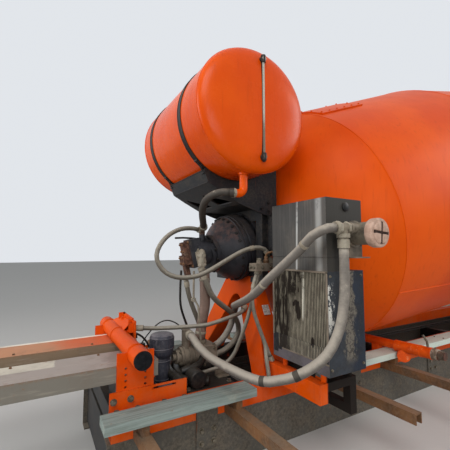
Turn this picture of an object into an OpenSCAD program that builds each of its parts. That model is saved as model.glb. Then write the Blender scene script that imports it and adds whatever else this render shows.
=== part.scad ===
// Concrete mixer body on its carrier frame.
// X points to the front, Y to the left, Z up, in millimetres.
// The origin lies on the floor plane, midway between the four hold-down holes of the carrier rails.

/* [Carrier] */
// Height of the two carrier rails
rail_h = 300; // [200:10:400]
// Width of a carrier rail's flanges
rail_flange = 90; // [60:5:140]
// Thickness of a carrier rail's web and flanges
rail_wall = 8; // [5:1:14]
// Distance from the centre plane to the outer face of a rail
rail_y = 460; // [380:5:520]
// Front end of the carrier rails
rail_front = 3060; // [2600:10:3300]
// Rear end of the carrier rails
rail_rear = -3350; // [-3600:10:-3200]
// Height of the box rails of the mixer's own subframe
sub_h = 120; // [80:5:160]
// Wall of the box rails and cross members
sub_wall = 6; // [4:1:10]
// Half the distance along X between the hold-down holes
hold_x = 2400; // [1500:50:2800]
// Diameter of a hold-down hole
hold_d = 26; // [16:1:36]

/* [Front beams and cross tube] */
// Width of each of the two broad front beams
neck_w = 272; // [200:2:320]
// Depth of the front beams
neck_h = 90; // [60:5:140]
// Wall of the front beams
neck_wall = 8; // [5:1:12]
// Gap between the two front beams
neck_gap = 200; // [120:5:300]
// Height of the top of the front beams
neck_top = 653; // [560:1:760]
// Front end of the front beams
neck_front = 3950; // [3400:10:4200]
// Rear end of the front beams
neck_rear = 2770; // [2700:5:2800]
// Outer diameter of the cross tube
tube_d = 102; // [80:1:140]
// Wall of the cross tube
tube_wall = 6; // [4:1:10]
// Length of the cross tube
tube_len = 1028; // [900:2:1200]
// Place of the cross tube along X
tube_x = 2900; // [2850:5:2950]
// Thickness of the perforated bracket plates
plate_t = 12; // [8:1:16]
// Pitch of the holes in the bracket plates
hole_pitch = 33; // [25:1:40]
// Diameter of the holes in the bracket plates
hole_d = 13; // [9:1:18]

/* [Pedestal and drive] */
// Front of the pedestal's feet
ped_front = 2115; // [2080:5:2140]
// Back of the pedestal
ped_rear = 1900; // [1880:5:1930]
// Lean of the pedestal's front plate, along X for each millimetre of height
ped_lean = 0.22; // [0.1:0.01:0.24]
// Height of the pedestal's top face
ped_top = 1080; // [1000:5:1100]
// Plate thickness of the pedestal
ped_plate = 10; // [6:1:16]
// Height of the drum axis at the gearbox flange
axis_z = 1334; // [1300:1:1370]
// Place of the gearbox flange along X
axis_x = 1912; // [1880:1:1940]
// Tilt of the drum axis
drum_tilt = 13.5; // [12:0.5:15]
// Diameter of the gearbox flange
gear_flange_d = 512; // [440:2:540]
// Diameter of the gearbox body's rear ring
gear_body_d = 516; // [480:2:520]
// Length of the gearbox
gear_body_l = 350; // [300:5:380]

/* [Drum] */
// Radius of the drum where the front head meets the shell
seam_r = 1000; // [900:5:1050]
// Largest radius of the drum
drum_r = 1200; // [1100:5:1250]
// Radius of the drum's mouth
mouth_r = 560; // [480:5:620]
// Radius of the dished front head
dish_r = 1160; // [1100:10:1300]
// Wall of the drum
drum_wall = 6; // [4:1:10]
// Distance along the axis from the flange to the end of the front cone
cone_end = 2050; // [1800:10:2200]
// Distance along the axis from the flange to the end of the cylinder
cyl_end = 2900; // [2700:10:3100]
// Distance along the axis from the flange to the mouth
mouth_s = 5000; // [4800:10:5100]
// Distance along the axis from the flange to the roller ring
ring_s = 4300; // [4200:10:4400]
// Height of the roller ring above the shell at its middle
ring_t = 97; // [80:1:110]
// Width of the roller ring
ring_w = 100; // [80:5:120]
// Radius of a support roller
roller_r = 125; // [100:5:150]
// Width of a support roller
roller_w = 80; // [60:5:90]
// Angle of the support rollers from straight below the axis
roller_angle = 32; // [28:1:36]

/* [Water tank] */
// Diameter of the water tank
tank_d = 790; // [700:5:800]
// Length of the tank's straight shell
tank_len = 1010; // [800:10:1050]
// Depth of each dished end
tank_dish = 70; // [40:5:90]
// Centre of the tank along X
tank_x = 2261; // [2255:1:2290]
// Centre of the tank across the body
tank_y = 114; // [60:2:130]
// Height of the tank's centre
tank_z = 2150; // [2130:2:2170]
// Wall of the tank
tank_wall = 5; // [3:1:8]
// Width of a tank strap
strap_w = 45; // [30:5:60]

/* [Oil cooler] */
// Front face of the cooler
cool_front = 2080; // [2060:5:2100]
// Width of the cooler across the body
cool_w = 455; // [400:5:480]
// Depth of the cooler along X
cool_d = 286; // [250:2:300]
// Outer side of the cooler
cool_y = 1020; // [1000:5:1040]
// Height of the cooler's foot
cool_z = 625; // [615:5:640]
// Height where the finned core starts
core_z = 755; // [730:5:780]
// Height where the finned core ends
core_top = 1166; // [1140:2:1180]
// Height where the full-depth part of the oil tank starts
oil_z = 1240; // [1220:5:1260]
// Height of the top of the oil tank
oil_top = 1565; // [1500:5:1600]
// Number of cooling fins on the front face
fin_count = 38; // [24:1:48]

/* [Rear end] */
// Centre of the discharge funnel and of the chute's swivel
swivel_x = -3480; // [-3520:5:-3460]
// Radius of the chute's trough
trough_r = 230; // [200:5:240]
// Slope of the main chute at rest
chute_slope = 25; // [20:1:30]
// Length of the main chute below its pivot
chute_len = 1250; // [1000:10:1400]
// Length of the extension chute
ext_len = 740; // [500:10:800]
// Wall of the chutes
trough_wall = 5; // [3:1:8]

/* [Hidden] */
$fn = 48;

e = 0.3;
sub_top = rail_h + sub_h;
sub_w = rail_flange;
sub_front = rail_front - 20;
sub_rear = rail_rear + 50;
neck_out = neck_gap / 2 + neck_w;
tube_z = neck_top + tube_d / 2;

orange = [0.86, 0.27, 0.06];
dark = [0.14, 0.15, 0.16];
steel = [0.42, 0.42, 0.41];
pale = [0.70, 0.71, 0.66];
dust = [0.50, 0.47, 0.41];
rust = [0.36, 0.20, 0.12];

// Axis frame of the drum: local Z runs up and back along the axis, local X points up.
module on_axis(s = 0) {
    translate([axis_x, 0, axis_z]) rotate([0, drum_tilt - 90, 0]) translate([0, 0, s]) children();
}
// World place of a point in the centre plane, s along the axis and u above it.
function axis_pt(s, u) = [axis_x - s * cos(drum_tilt) + u * sin(drum_tilt),
    axis_z + s * sin(drum_tilt) + u * cos(drum_tilt)];
module box(x, y, z) {
    translate([x[0], y[0], z[0]]) cube([x[1] - x[0], y[1] - y[0], z[1] - z[0]]);
}
module both_sides() {
    children();
    mirror([0, 1, 0]) children();
}
// Cylinder from point a to point b.
module rod(a, b, r) {
    v = b - a;
    translate(a) rotate([0, acos(v[2] / norm(v)), atan2(v[1], v[0])]) cylinder(h = norm(v), r = r);
}
// Swept tube with sides faces: one ring at each point of the route, square to the route.
function unit(v) = v / norm(v);
function tangents(p) = [for (i = [0 : len(p) - 1])
    unit(i == 0 ? p[1] - p[0] : i == len(p) - 1 ? p[i] - p[i - 1]
        : unit(p[i + 1] - p[i]) + unit(p[i] - p[i - 1]))];
function square_to(n, t) = unit(n - (n * t) * t);
module hose(p, r, sides = 10) {
    t = tangents(p);
    n0 = square_to(abs(t[0][0]) < 0.8 ? [1, 0, 0] : [0, 0, 1], t[0]);
    n = [for (i = 0, a = n0; i < len(p); i = i + 1, a = i < len(p) ? square_to(a, t[i]) : a) a];
    ring = [for (i = [0 : len(p) - 1]) for (k = [0 : sides - 1])
        p[i] + r * (cos(360 * k / sides) * n[i] + sin(360 * k / sides) * cross(t[i], n[i]))];
    last = (len(p) - 1) * sides;
    skin = [for (i = [0 : len(p) - 2]) for (k = [0 : sides - 1]) let (m = (k + 1) % sides)
        each [[i * sides + k, (i + 1) * sides + k, (i + 1) * sides + m],
            [i * sides + k, (i + 1) * sides + m, i * sides + m]]];
    polyhedron(points = ring, faces = concat([[for (k = [0 : sides - 1]) k]], skin,
        [[for (k = [sides - 1 : -1 : 0]) last + k]]));
}

// Routes of the hoses, chosen by hand.
return_r = 25;
return_route = [[2082, 1080, 1395], [2145, 1070, 1386], [2185, 1010, 1345], [2195, 940, 1280],
    [2255, 740, 1110], [2260, 650, 1040], [2245, 520, 975], [2145, 200, 880], [2070, 90, 860],
    [2015, 0, 825], [2000, -50, 760], [2025, -60, 670], [2085, -60, 590], [2150, -56, 545],
    [2224, -50, 525]];
suction_r = 25;
suction_route = [[2020, 1080, 1290], [2020, 1080, 1160], [2030, 1080, 1020], [2070, 1080, 880],
    [2150, 1065, 760], [2250, 1010, 680], [2330, 930, 635], [2405, 820, 615], [2490, 540, 645],
    [2510, 380, 680], [2495, 260, 702], [2480, 180, 702]];
loop_r = 16;
loop_route = [[2376, 60, 1432], [2430, 65, 1440], [2520, 72, 1430], [2620, 90, 1380], [2690, 110, 1300],
    [2710, 130, 1225], [2675, 150, 1150], [2605, 180, 1105], [2510, 210, 1098], [2400, 240, 1128],
    [2165, 310, 1265], [2060, 345, 1298], [1990, 364, 1285], [1965, 374, 1228]];
motor_hose_r = 20;
motor_hose_route = [[2365, 110, 1135], [2338, 120, 1055], [2275, 124, 935], [2105, 75, 812],
    [2040, 45, 750], [2000, 20, 685], [1998, 10, 625], [2055, 15, 555], [2150, 40, 520],
    [2226, 60, 512]];
tank_hose_r = 17;
tank_hose_route = [[2430, -30, 1062], [2405, -40, 960], [2375, -40, 870], [2308, -40, 705],
    [2300, -40, 625]];
riser_r = 38;
riser_route = [[2310, 40, 1110], [2305, 40, 890], [2322, 36, 780], [2335, 30, 680], [2338, 30, 630]];
vent_r = 14;
vent_route = [[2050, 168, 838], [2090, 178, 815], [2295, 190, 775], [2405, 170, 760], [2650, 70, 752],
    [2760, 20, 755]];
drain_r = 13;
drain_a_route = [[2080, 385, 1115], [2115, 400, 1050], [2145, 425, 950], [2135, 445, 840],
    [2075, 488, 640], [2062, 505, 590]];
drain_b_route = [[2045, 365, 1115], [2105, 350, 900], [2140, 340, 780], [2188, 290, 600],
    [2230, 268, 530], [2300, 255, 492], [2430, 238, 468], [2455, 234, 442]];
water_r = 24;
water_route = [[2398, 560, 1630], [2440, 530, 1632], [2472, 470, 1620], [2482, 400, 1595],
    [2470, 330, 1555], [2440, 265, 1512], [2398, 190, 1478], [2364, 128, 1456]];

// Carrier frame
module c_rail(front, rear) {
    translate([rear, 0, 0]) rotate([90, 0, 90]) linear_extrude(front - rear)
        polygon([[rail_y, 0], [rail_y, rail_h], [rail_y - rail_flange, rail_h],
            [rail_y - rail_flange, rail_h - rail_wall], [rail_y - rail_wall, rail_h - rail_wall],
            [rail_y - rail_wall, rail_wall], [rail_y - rail_flange, rail_wall], [rail_y - rail_flange, 0]]);
}
module carrier_rails() {
    color(dust) both_sides() difference() {
        c_rail(rail_front, rail_rear);
        for (x = [-hold_x, hold_x])
            translate([x, rail_y - rail_flange * 0.55, -1]) cylinder(h = rail_wall + 2, d = hold_d);
    }
}
// Cross members: place along X, lowest and highest height, length along X.
cross_members = [[3000, 20, rail_h - rail_wall, 60], [2200, 20, rail_h - rail_wall, 80],
    [1400, 40, 200, 80], [0, 40, 200, 80], [-1400, 40, 200, 80], [-2450, 20, rail_h - rail_wall, 100],
    [-3300, 20, rail_h - rail_wall, 60]];
module crossmembers() {
    color(dark) {
        for (m = cross_members) difference() {
            box([m[0] - m[3] / 2, m[0] + m[3] / 2], [-(rail_y - rail_wall), rail_y - rail_wall],
                [m[1], m[2]]);
            box([m[0] - m[3] / 2 + sub_wall, m[0] + m[3] / 2 - sub_wall],
                [-rail_y, rail_y], [m[1] + sub_wall, m[2] - sub_wall]);
        }
        for (x = [2985, 2180, -2450, -3255])
            box([x - 40, x + 40], [-(rail_y - sub_w), rail_y - sub_w], [rail_h + 10, sub_top]);
        both_sides() box([2790, 2990], [neck_gap / 2, neck_out], [sub_top, neck_top - neck_h]);
        box([2790, 2945], [-(rail_y - sub_w), rail_y - sub_w], [sub_top - 30, sub_top]);
    }
}
module subframe_rails() {
    color(orange) both_sides() difference() {
        box([sub_rear, sub_front], [rail_y - sub_w, rail_y], [rail_h, sub_top]);
        box([sub_rear - 1, sub_front + 1], [rail_y - sub_w + sub_wall, rail_y - sub_wall],
            [rail_h + sub_wall, sub_top - sub_wall]);
    }
}

// Front beams, cross tube and brackets
module neck_beams() {
    color(pale) both_sides() difference() {
        box([neck_rear, neck_front], [neck_gap / 2, neck_out], [neck_top - neck_h, neck_top]);
        box([neck_rear - 1, neck_front + 1], [neck_gap / 2 + neck_wall, neck_out - neck_wall],
            [neck_top - neck_h - 1, neck_top - neck_wall]);
    }
}
module cross_tube() {
    color(orange) translate([tube_x, 0, tube_z]) rotate([90, 0, 0]) difference() {
        cylinder(h = tube_len, r = tube_d / 2, center = true);
        cylinder(h = tube_len - 16, r = tube_d / 2 - tube_wall, center = true);
    }
}
bracket_y = neck_out + 2;
bracket_front = 3005;
bracket_rear = 2800;
angle_front = 3041;
angle_rear = 2600;
module bracket_side() {
    difference() {
        box([bracket_rear, bracket_front], [bracket_y, bracket_y + plate_t], [sub_top, neck_top + 66]);
        translate([tube_x, 0, tube_z]) rotate([90, 0, 0])
            cylinder(h = 3 * tube_len, r = tube_d / 2 + e, center = true);
        for (x = [2848, 2957], k = [0 : 3])
            translate([x, bracket_y - 1, neck_top - 18 - k * hole_pitch]) rotate([-90, 0, 0])
                cylinder(h = plate_t + 2, d = hole_d);
    }
    difference() {
        box([angle_rear, angle_front], [bracket_y + plate_t, bracket_y + plate_t + 8],
            [sub_top, sub_top + 102]);
        for (x = [2674, 2805]) translate([x, bracket_y, 505]) rotate([-90, 0, 0]) cylinder(h = 40, d = 12);
        box([2674, 2805], [bracket_y, bracket_y + 40], [499, 511]);
    }
    box([angle_rear, angle_front], [bracket_y + plate_t + 8, rail_y + 12], [sub_top, sub_top + 8]);
}
saddle_y = [-230, 50];
module tube_brackets() {
    color(orange) {
        both_sides() bracket_side();
        box([2816, 2828], saddle_y, [neck_top, 812]);
        box([2828, 2856], [saddle_y[0] + 20, saddle_y[0] + 30], [tube_z + 31, 800]);
        box([2828, 2856], [saddle_y[1] - 30, saddle_y[1] - 20], [tube_z + 31, 800]);
        box([2828, 2862], [saddle_y[0] + 30, saddle_y[1] - 30], [tube_z + 34, tube_z + 42]);
    }
}

// Pedestal: an A-frame of plates, open at its back, with a front plate that leans back
ped_half = [[532, sub_top], [489, 501], [404, 673], [303, 871], [198, 1060], [190, ped_top]];
arch_half = [[388, sub_top], [345, 488], [287, 566], [197, 696], [107, 825], [90, 875], [60, 918],
    [20, 940]];
function mirrored(p) = [for (k = [len(p) - 1 : -1 : 0]) [-p[k][0], p[k][1]]];
module ped_slope(g) {
    translate([0, 700, 0]) rotate([90, 0, 0]) linear_extrude(1400)
        polygon([[ped_rear - (g > 0 ? 5 : 0), sub_top - g], [ped_front - g, sub_top - g],
            [ped_front - g - ped_lean * (ped_top - sub_top), ped_top - g],
            [ped_rear - (g > 0 ? 5 : 0), ped_top - g]]);
}
module ped_prism() {
    translate([ped_rear - 20, 0, 0]) rotate([90, 0, 90]) linear_extrude(300) children();
}
module ped_solid() {
    intersection() {
        ped_slope(0);
        ped_prism() polygon(concat(ped_half, mirrored(ped_half)));
    }
}
module front_pedestal() {
    arch = concat(ped_half, mirrored(ped_half), [for (q = arch_half) [-q[0], q[1]]],
        [for (k = [len(arch_half) - 1 : -1 : 0]) arch_half[k]]);
    color(orange) difference() {
        intersection() {
            ped_slope(0);
            ped_prism() polygon(arch);
        }
        intersection() {
            ped_slope(ped_plate);
            ped_prism() offset(delta = -ped_plate) polygon(arch);
        }
        on_axis() translate([0, 0, -200]) cylinder(h = 300, d = gear_body_d);
    }
}

// Drive line
// Outline of the gearbox: radius and distance in front of the flange.
gear_r = gear_body_d / 2;
gear_pts = [[0, 0], [gear_flange_d / 2, 0], [gear_flange_d / 2, -30], [gear_r - 26, -34], [gear_r - 26, -60],
    [gear_r, -66], [gear_r, -118], [gear_r - 4, -124], [gear_r - 4, -128], [gear_r, -134],
    [gear_r - 2, -160], [gear_r - 16, -200], [gear_r - 42, -245], [gear_r - 75, -285],
    [gear_r - 106, -315], [gear_r - 112, -318], [gear_r - 112, -gear_body_l], [0, -gear_body_l]];
module gearbox() {
    color(dark) {
        on_axis() difference() {
            rotate_extrude($fn = 64) polygon(gear_pts);
            for (k = [0 : 15]) rotate(k * 22.5 + 11.25) translate([gear_flange_d / 2 - 13, 0, -31])
                cylinder(h = 40, d = 14);
        }
        difference() {
            box([ped_rear + 5, ped_rear + 68], [-180, 180], [ped_top, 1150]);
            on_axis() translate([0, 0, -400]) cylinder(h = 500, d = gear_flange_d - 40);
        }
    }
}
// Motor, its end plate, the elbow of its hose, and the union above it
motor_s = -gear_body_l;
motor_plate_s = motor_s - 180;
module hydraulic_motor() {
    color(steel) {
        on_axis() {
            translate([0, 0, motor_s - 30]) cylinder(h = 30, d = 250);
            translate([35, 0, motor_s - 120]) cylinder(h = 91, d = 210);
            translate([-62, -15, motor_s - 180]) cube([208, 97, 90]);
            translate([-40, 80, motor_s - 150]) cube([90, 34, 60]);
        }
        rod(axis_pt3(motor_s - 120, 0, 105), axis_pt3(motor_s - 120, -60, 112), 24);
        rod(axis_pt3(motor_s - 120, -50, 112), [2372, 107, 1160], 19);
        translate([2340, 55, 1350]) cylinder(h = 96, d = 44);
        rod([2340, 55, 1432], [2362, 59, 1432], 20);
        rod([2340, 55, 1440], [2350, 103, 1448], 26);
    }
    color(rust) on_axis() {
        translate([40, 0, motor_plate_s - 42]) cube([96, 62, 42]);
        translate([-30, -20, motor_plate_s - 58]) cube([71, 82, 58]);
        translate([-124, -52, motor_plate_s - 34]) cube([95, 64, 28]);
    }
}
// Place at distance s along the axis, u above it and y to its left.
function axis_pt3(s, u, y) = [axis_pt(s, u)[0], y, axis_pt(s, u)[1]];
pump_x = [2370, 2530];
pump_y = 100;
pump_z = 552;
pump_block = [[2250, 2374], [-90, 130], [462, 600]];
module hydraulic_pump() {
    color(dust) {
        translate([pump_x[0], pump_y, pump_z]) rotate([0, 90, 0]) {
            cylinder(h = pump_x[1] - pump_x[0], d = 124);
            for (k = [0 : 3]) translate([0, 0, 15 + k * 38]) cylinder(h = 14, d = 138);
            translate([0, 0, pump_x[1] - pump_x[0] - 1]) cylinder(h = 30, d = 90);
            translate([0, 0, pump_x[1] - pump_x[0] + 28]) cylinder(h = 22, d = 44);
        }
        box(pump_block[0], pump_block[1], pump_block[2]);
        box([pump_x[0] + 20, pump_x[1] - 20], [pump_y - 50, pump_y + 50], [sub_top, pump_z]);
        box([pump_block[0][0] + 20, pump_x[0]], [pump_block[1][0] + 20, 60], [sub_top, pump_block[2][0]]);
        box([pump_block[0][0], pump_x[1] + 50], [-(rail_y - sub_w), rail_y - sub_w],
            [sub_top - 20, sub_top]);
        translate([2480, pump_y, pump_z + 50]) cylinder(h = 125, d = 62);
        rod([2480, pump_y, 702], [2473, 141, 702], 25);
    }
}
module filter_canister() {
    color(dark) {
        translate([2655, pump_y, sub_top]) rotate_extrude() polygon([[0, 0], [52, 0], [55, 6], [55, 150],
            [72, 176], [78, 200], [79, 284], [74, 298], [58, 305], [0, 307]]);
        box([2592, 2705], [-(rail_y - sub_w), rail_y - sub_w], [sub_top - 20, sub_top]);
    }
}

// Water tank and its cradle: two side plates, a front beam, a bottom plate with cut-outs, two posts
cradle_y = [-237, 383];
cradle_x = [1945, 1995];
cradle_post_y = [262, 340];
cradle_foot = 40;
cradle_low = [[1945, 1523], [2023, 1538], [2209, 1596], [2351, 1666], [2456, 1723]];
cradle_wing = [[1895, 1880], [1895, 1512]];
cradle_profile = concat(cradle_low, [[2488, 1800], [2430, 1880], [1945, 1880]]);
cradle_beam = [[2380, 1681], [2456, 1723], [2488, 1800], [2430, 1812]];
cradle_beam_in = [[2400, 1702], [2449, 1729], [2476, 1794], [2436, 1802]];
cradle_floor = [[1950, 1590], [2209, 1596], [2351, 1666], [2400, 1693], [2396, 1701], [2348, 1675],
    [2206, 1605], [1950, 1600]];
module cradle_plate(y, wing = []) {
    translate([0, y, 0]) rotate([90, 0, 0]) linear_extrude(10, center = true) difference() {
        polygon(concat(cradle_profile, wing));
        translate([tank_x, tank_z]) circle(r = tank_d / 2 + 3 + e, $fn = 96);
    }
}
module cradle_across() {
    translate([0, cradle_y[1] - 10, 0]) rotate([90, 0, 0])
        linear_extrude(cradle_y[1] - cradle_y[0] - 20) children();
}
module tank_cradle() {
    color(dark) {
        cradle_plate(cradle_y[0] + 5);
        cradle_plate(cradle_y[1] - 5, cradle_wing);
        difference() {
            cradle_across() difference() {
                polygon(cradle_beam);
                polygon(cradle_beam_in);
            }
            translate([tank_x, 0, tank_z]) rotate([90, 0, 0])
                cylinder(h = 2000, r = tank_d / 2 + 3 + e, center = true, $fn = 96);
        }
        difference() {
            cradle_across() polygon(cradle_floor);
            for (y = [-160, 130]) hull() {
                translate([2360, y, 1600]) cylinder(h = 120, r = 12);
                translate([2250, y + 20, 1600]) cylinder(h = 120, r = 12);
                translate([2250, y + 180, 1600]) cylinder(h = 120, r = 12);
            }
        }
        difference() {
            both_sides() {
                box(cradle_x, cradle_post_y, [ped_top - cradle_foot, 1650]);
                box([ped_rear + 5, cradle_x[1]], [185, cradle_post_y[1]], [ped_top - cradle_foot, ped_top]);
            }
            ped_solid();
        }
        box(cradle_x, [cradle_y[0] + 10, cradle_y[1] - 10], [1600, 1650]);
        box(cradle_x, [-cradle_post_y[0], cradle_y[0]], [1600, 1650]);
        box([cradle_x[0], cradle_x[0] + 10], [cradle_y[0] + 10, cradle_y[1] - 10], [1600, 1880]);
        box([cradle_x[0] - 13, cradle_x[0] + 2], [cradle_post_y[1] - 5, cradle_post_y[1] + 100],
            [1240, 1540]);
    }
}
module dished_tank(r, l, dish) {
    rotate([90, 0, 0]) {
        cylinder(h = l, r = r, center = true);
        for (s = [0, 1]) mirror([0, 0, s]) translate([0, 0, l / 2]) rotate_extrude()
            polygon(concat([[0, 0]],
                [for (k = [0 : 6]) let (a = 90 * k / 6) [r * pow(cos(a), 0.45), dish * sin(a)]]));
    }
}
module water_tank() {
    color(orange) difference() {
        union() {
            translate([tank_x, tank_y, tank_z]) dished_tank(tank_d / 2, tank_len, tank_dish);
            translate([tank_x + 20, tank_y + 120, tank_z + tank_d / 2 - 12]) cylinder(h = 50, d = 160);
        }
        translate([tank_x, tank_y, tank_z])
            dished_tank(tank_d / 2 - tank_wall, tank_len, tank_dish - tank_wall);
    }
}
strap_y = [-215, 361];
module tank_straps() {
    color(dark) for (y = strap_y) translate([tank_x, y, tank_z]) rotate([90, 0, 0]) difference() {
        cylinder(h = strap_w, r = tank_d / 2 + 3, center = true, $fn = 96);
        cylinder(h = strap_w + 2, r = tank_d / 2, center = true, $fn = 96);
    }
}
sight_x = 2235;
sight_z = [1830, 2476];
tank_face = tank_y + tank_len / 2 + tank_dish;
module sight_tube() {
    color(dark) {
        translate([sight_x, tank_face - 4, sight_z[0]]) cylinder(h = sight_z[1] - sight_z[0], d = 22);
        for (z = [sight_z[0] + 14, sight_z[1] - 14])
            translate([sight_x, tank_face - 66, z]) rotate([-90, 0, 0]) cylinder(h = 80, d = 28);
    }
}
outlet_x = 2300;
outlet_y = 560;
outlet_bend = 42;
outlet_path = concat([[outlet_x, outlet_y, 1764]],
    [for (k = [0 : 6]) let (a = 15 * k) [outlet_x + outlet_bend * (1 - cos(a)), outlet_y,
        1672 - outlet_bend * sin(a)]],
    [[outlet_x + 76, outlet_y, 1672 - outlet_bend]]);
module tank_outlet() {
    color(orange) hose(outlet_path, 26, 16);
}

// Oil cooler
cool_rear = cool_front - cool_d;
cool_in = cool_y - cool_w;
module cooler_outrigger() {
    color(orange) {
        difference() {
            box([cool_front - 60, cool_front], [430, cool_y - 70], [sub_top + 40, 566]);
            box([cool_front - 52, cool_front - 8], [429, cool_y - 78], [sub_top + 48, 558]);
            ped_solid();
        }
        box([cool_rear, cool_front - 60], [cool_y - 120, cool_y - 70], [520, 566]);
        box([cool_rear, cool_front - 60], [cool_in + 20, cool_in + 70], [520, 566]);
        for (x = [cool_rear + 30, cool_front - 60])
            for (y = [cool_in + 45, cool_y - 95])
                translate([x, y, 566]) cylinder(h = cool_z - 566, d = 36);
        box([cool_rear, cool_rear + 50], [rail_y, cool_y - 70], [sub_top - 60, sub_top - 10]);
        box([cool_rear, cool_rear + 50], [cool_y - 120, cool_y - 70], [sub_top - 10, 520]);
        box([cool_rear, cool_rear + 50], [cool_in + 20, cool_in + 70], [sub_top - 10, 520]);
    }
}
module oil_tank() {
    color(steel) difference() {
        union() {
            box([cool_rear, cool_front], [cool_in, cool_y], [oil_z, oil_top]);
            box([cool_front - 130, cool_front], [cool_in, cool_y], [core_top, oil_z + 1]);
        }
        box([cool_rear + 4, cool_front - 4], [cool_in + 4, cool_y - 4], [oil_z + 4, oil_top - 4]);
        translate([cool_rear + 90, cool_in + 110, oil_top - 10]) cylinder(h = 20, d = 60);
    }
    color(dark) translate([cool_rear + 90, cool_in + 110, oil_top]) cylinder(h = 30, d = 72);
}
fin_gap = (cool_w - 24) / fin_count;
module cooler_core() {
    color(steel) {
        box([cool_front - 80, cool_front - 14], [cool_in + 8, cool_y - 8], [core_z, core_top]);
        for (k = [0 : fin_count - 1])
            box([cool_front - 14, cool_front - 2],
                [cool_in + 12 + k * fin_gap, cool_in + 12 + k * fin_gap + 4], [core_z + 10, core_top - 10]);
    }
}
fan_x = cool_front - 150;
fan_y = (cool_in + cool_y) / 2;
fan_z = (core_z + core_top) / 2;
module cooler_shroud() {
    color(dark) {
        difference() {
            box([cool_rear, cool_front], [cool_in, cool_y], [cool_z, core_top]);
            box([cool_rear - 1, cool_front - 80], [cool_in + 8, cool_y - 8], [cool_z + 8, core_top - 8]);
            box([cool_front - 81, cool_front + 1], [cool_in + 8, cool_y - 8], [core_z, core_top + 1]);
            box([cool_front - 82, cool_front - 8], [cool_in + 8, cool_y - 8], [cool_z + 8, core_z - 8]);
        }
        difference() {
            box([cool_front - 92, cool_front - 86], [cool_in + 8, cool_y - 8], [cool_z + 8, core_top - 8]);
            translate([0, fan_y, fan_z]) rotate([0, 90, 0]) translate([0, 0, cool_rear])
                cylinder(h = 400, d = 390);
        }
        difference() {
            box([fan_x - 90, fan_x - 60], [fan_y - 40, fan_y + 40], [cool_z + 8, fan_z + 40]);
        }
        translate([fan_x - 60, fan_y, fan_z]) rotate([0, 90, 0]) cylinder(h = 30, d = 70);
        translate([fan_x - 31, fan_y, fan_z]) rotate([0, 90, 0]) cylinder(h = 52, d = 20);
    }
}
module cooler_fan() {
    color(steel) translate([fan_x, fan_y, fan_z]) rotate([0, 90, 0]) difference() {
        union() {
            translate([0, 0, -20]) cylinder(h = 40, d = 90);
            for (k = [0 : 6]) rotate(k * 360 / 7) translate([100, 0, 0]) rotate([28, 0, 0])
                cube([120, 60, 4], center = true);
        }
        translate([0, 0, -21]) cylinder(h = 60, d = 20 + 2 * e);
    }
}
filter_x = 1867;
filter_z = 1370;
tee_x = 2020;
tee_z = 1395;
tee_y = 1080;
module return_filter() {
    color(dust) {
        translate([filter_x, cool_y, filter_z]) rotate([-90, 0, 0]) {
            cylinder(h = 12, d = 150);
            cylinder(h = 115, d = 124);
            translate([0, 0, 114]) cylinder(h = 14, d = 140);
        }
        rod([filter_x, tee_y, tee_z], [tee_x + 40, tee_y, tee_z], 26);
        rod([tee_x, tee_y, tee_z], [tee_x, tee_y, tee_z - 60], 26);
        rod([tee_x - 60, tee_y, tee_z], [tee_x - 36, tee_y, tee_z], 33);
    }
    color([0.62, 0.42, 0.34]) translate([filter_x, cool_y + 128, filter_z]) rotate([-90, 0, 0])
        difference() {
            cylinder(h = 36, d = 150);
            for (k = [0 : 5]) rotate(k * 60) translate([75, 0, 8]) cylinder(h = 40, d = 26);
        }
}
module valve_manifold() {
    color(dust) {
        box([1890, 2112], [345, 428], [1136, 1190]);
        box(cradle_x, [cradle_post_y[1], 346], [1136, 1190]);
        for (x = [1915, 2060]) translate([x, 390, 1189]) cylinder(h = 18, d = 40);
    }
}
// Ferrules at a hose's two ends: radius beyond the hose, and length to what each end reaches.
function ends(p, r, first, last) = [[p[0], p[1], r, first], [p[len(p) - 1], p[len(p) - 2], r, last]];
ferrules = concat(ends(return_route, return_r + 6, 22, 30), ends(suction_route, suction_r + 6, 45, 42),
    ends(loop_route, loop_r + 6, 16, 46), ends(motor_hose_route, motor_hose_r + 6, 26, 28),
    ends(tank_hose_route, tank_hose_r + 6, 22, 28), ends(riser_route, riser_r + 4, 30, 32),
    ends(vent_route, vent_r + 6, 40, 60), ends(drain_a_route, drain_r + 5, 26, 30),
    ends(drain_b_route, drain_r + 5, 24, 30), ends(water_route, water_r + 5, 26, 30));
module hose_fittings() {
    color(dust) for (f = ferrules) rod(f[0], f[0] - f[3] * unit(f[1] - f[0]), f[2]);
}

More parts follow.
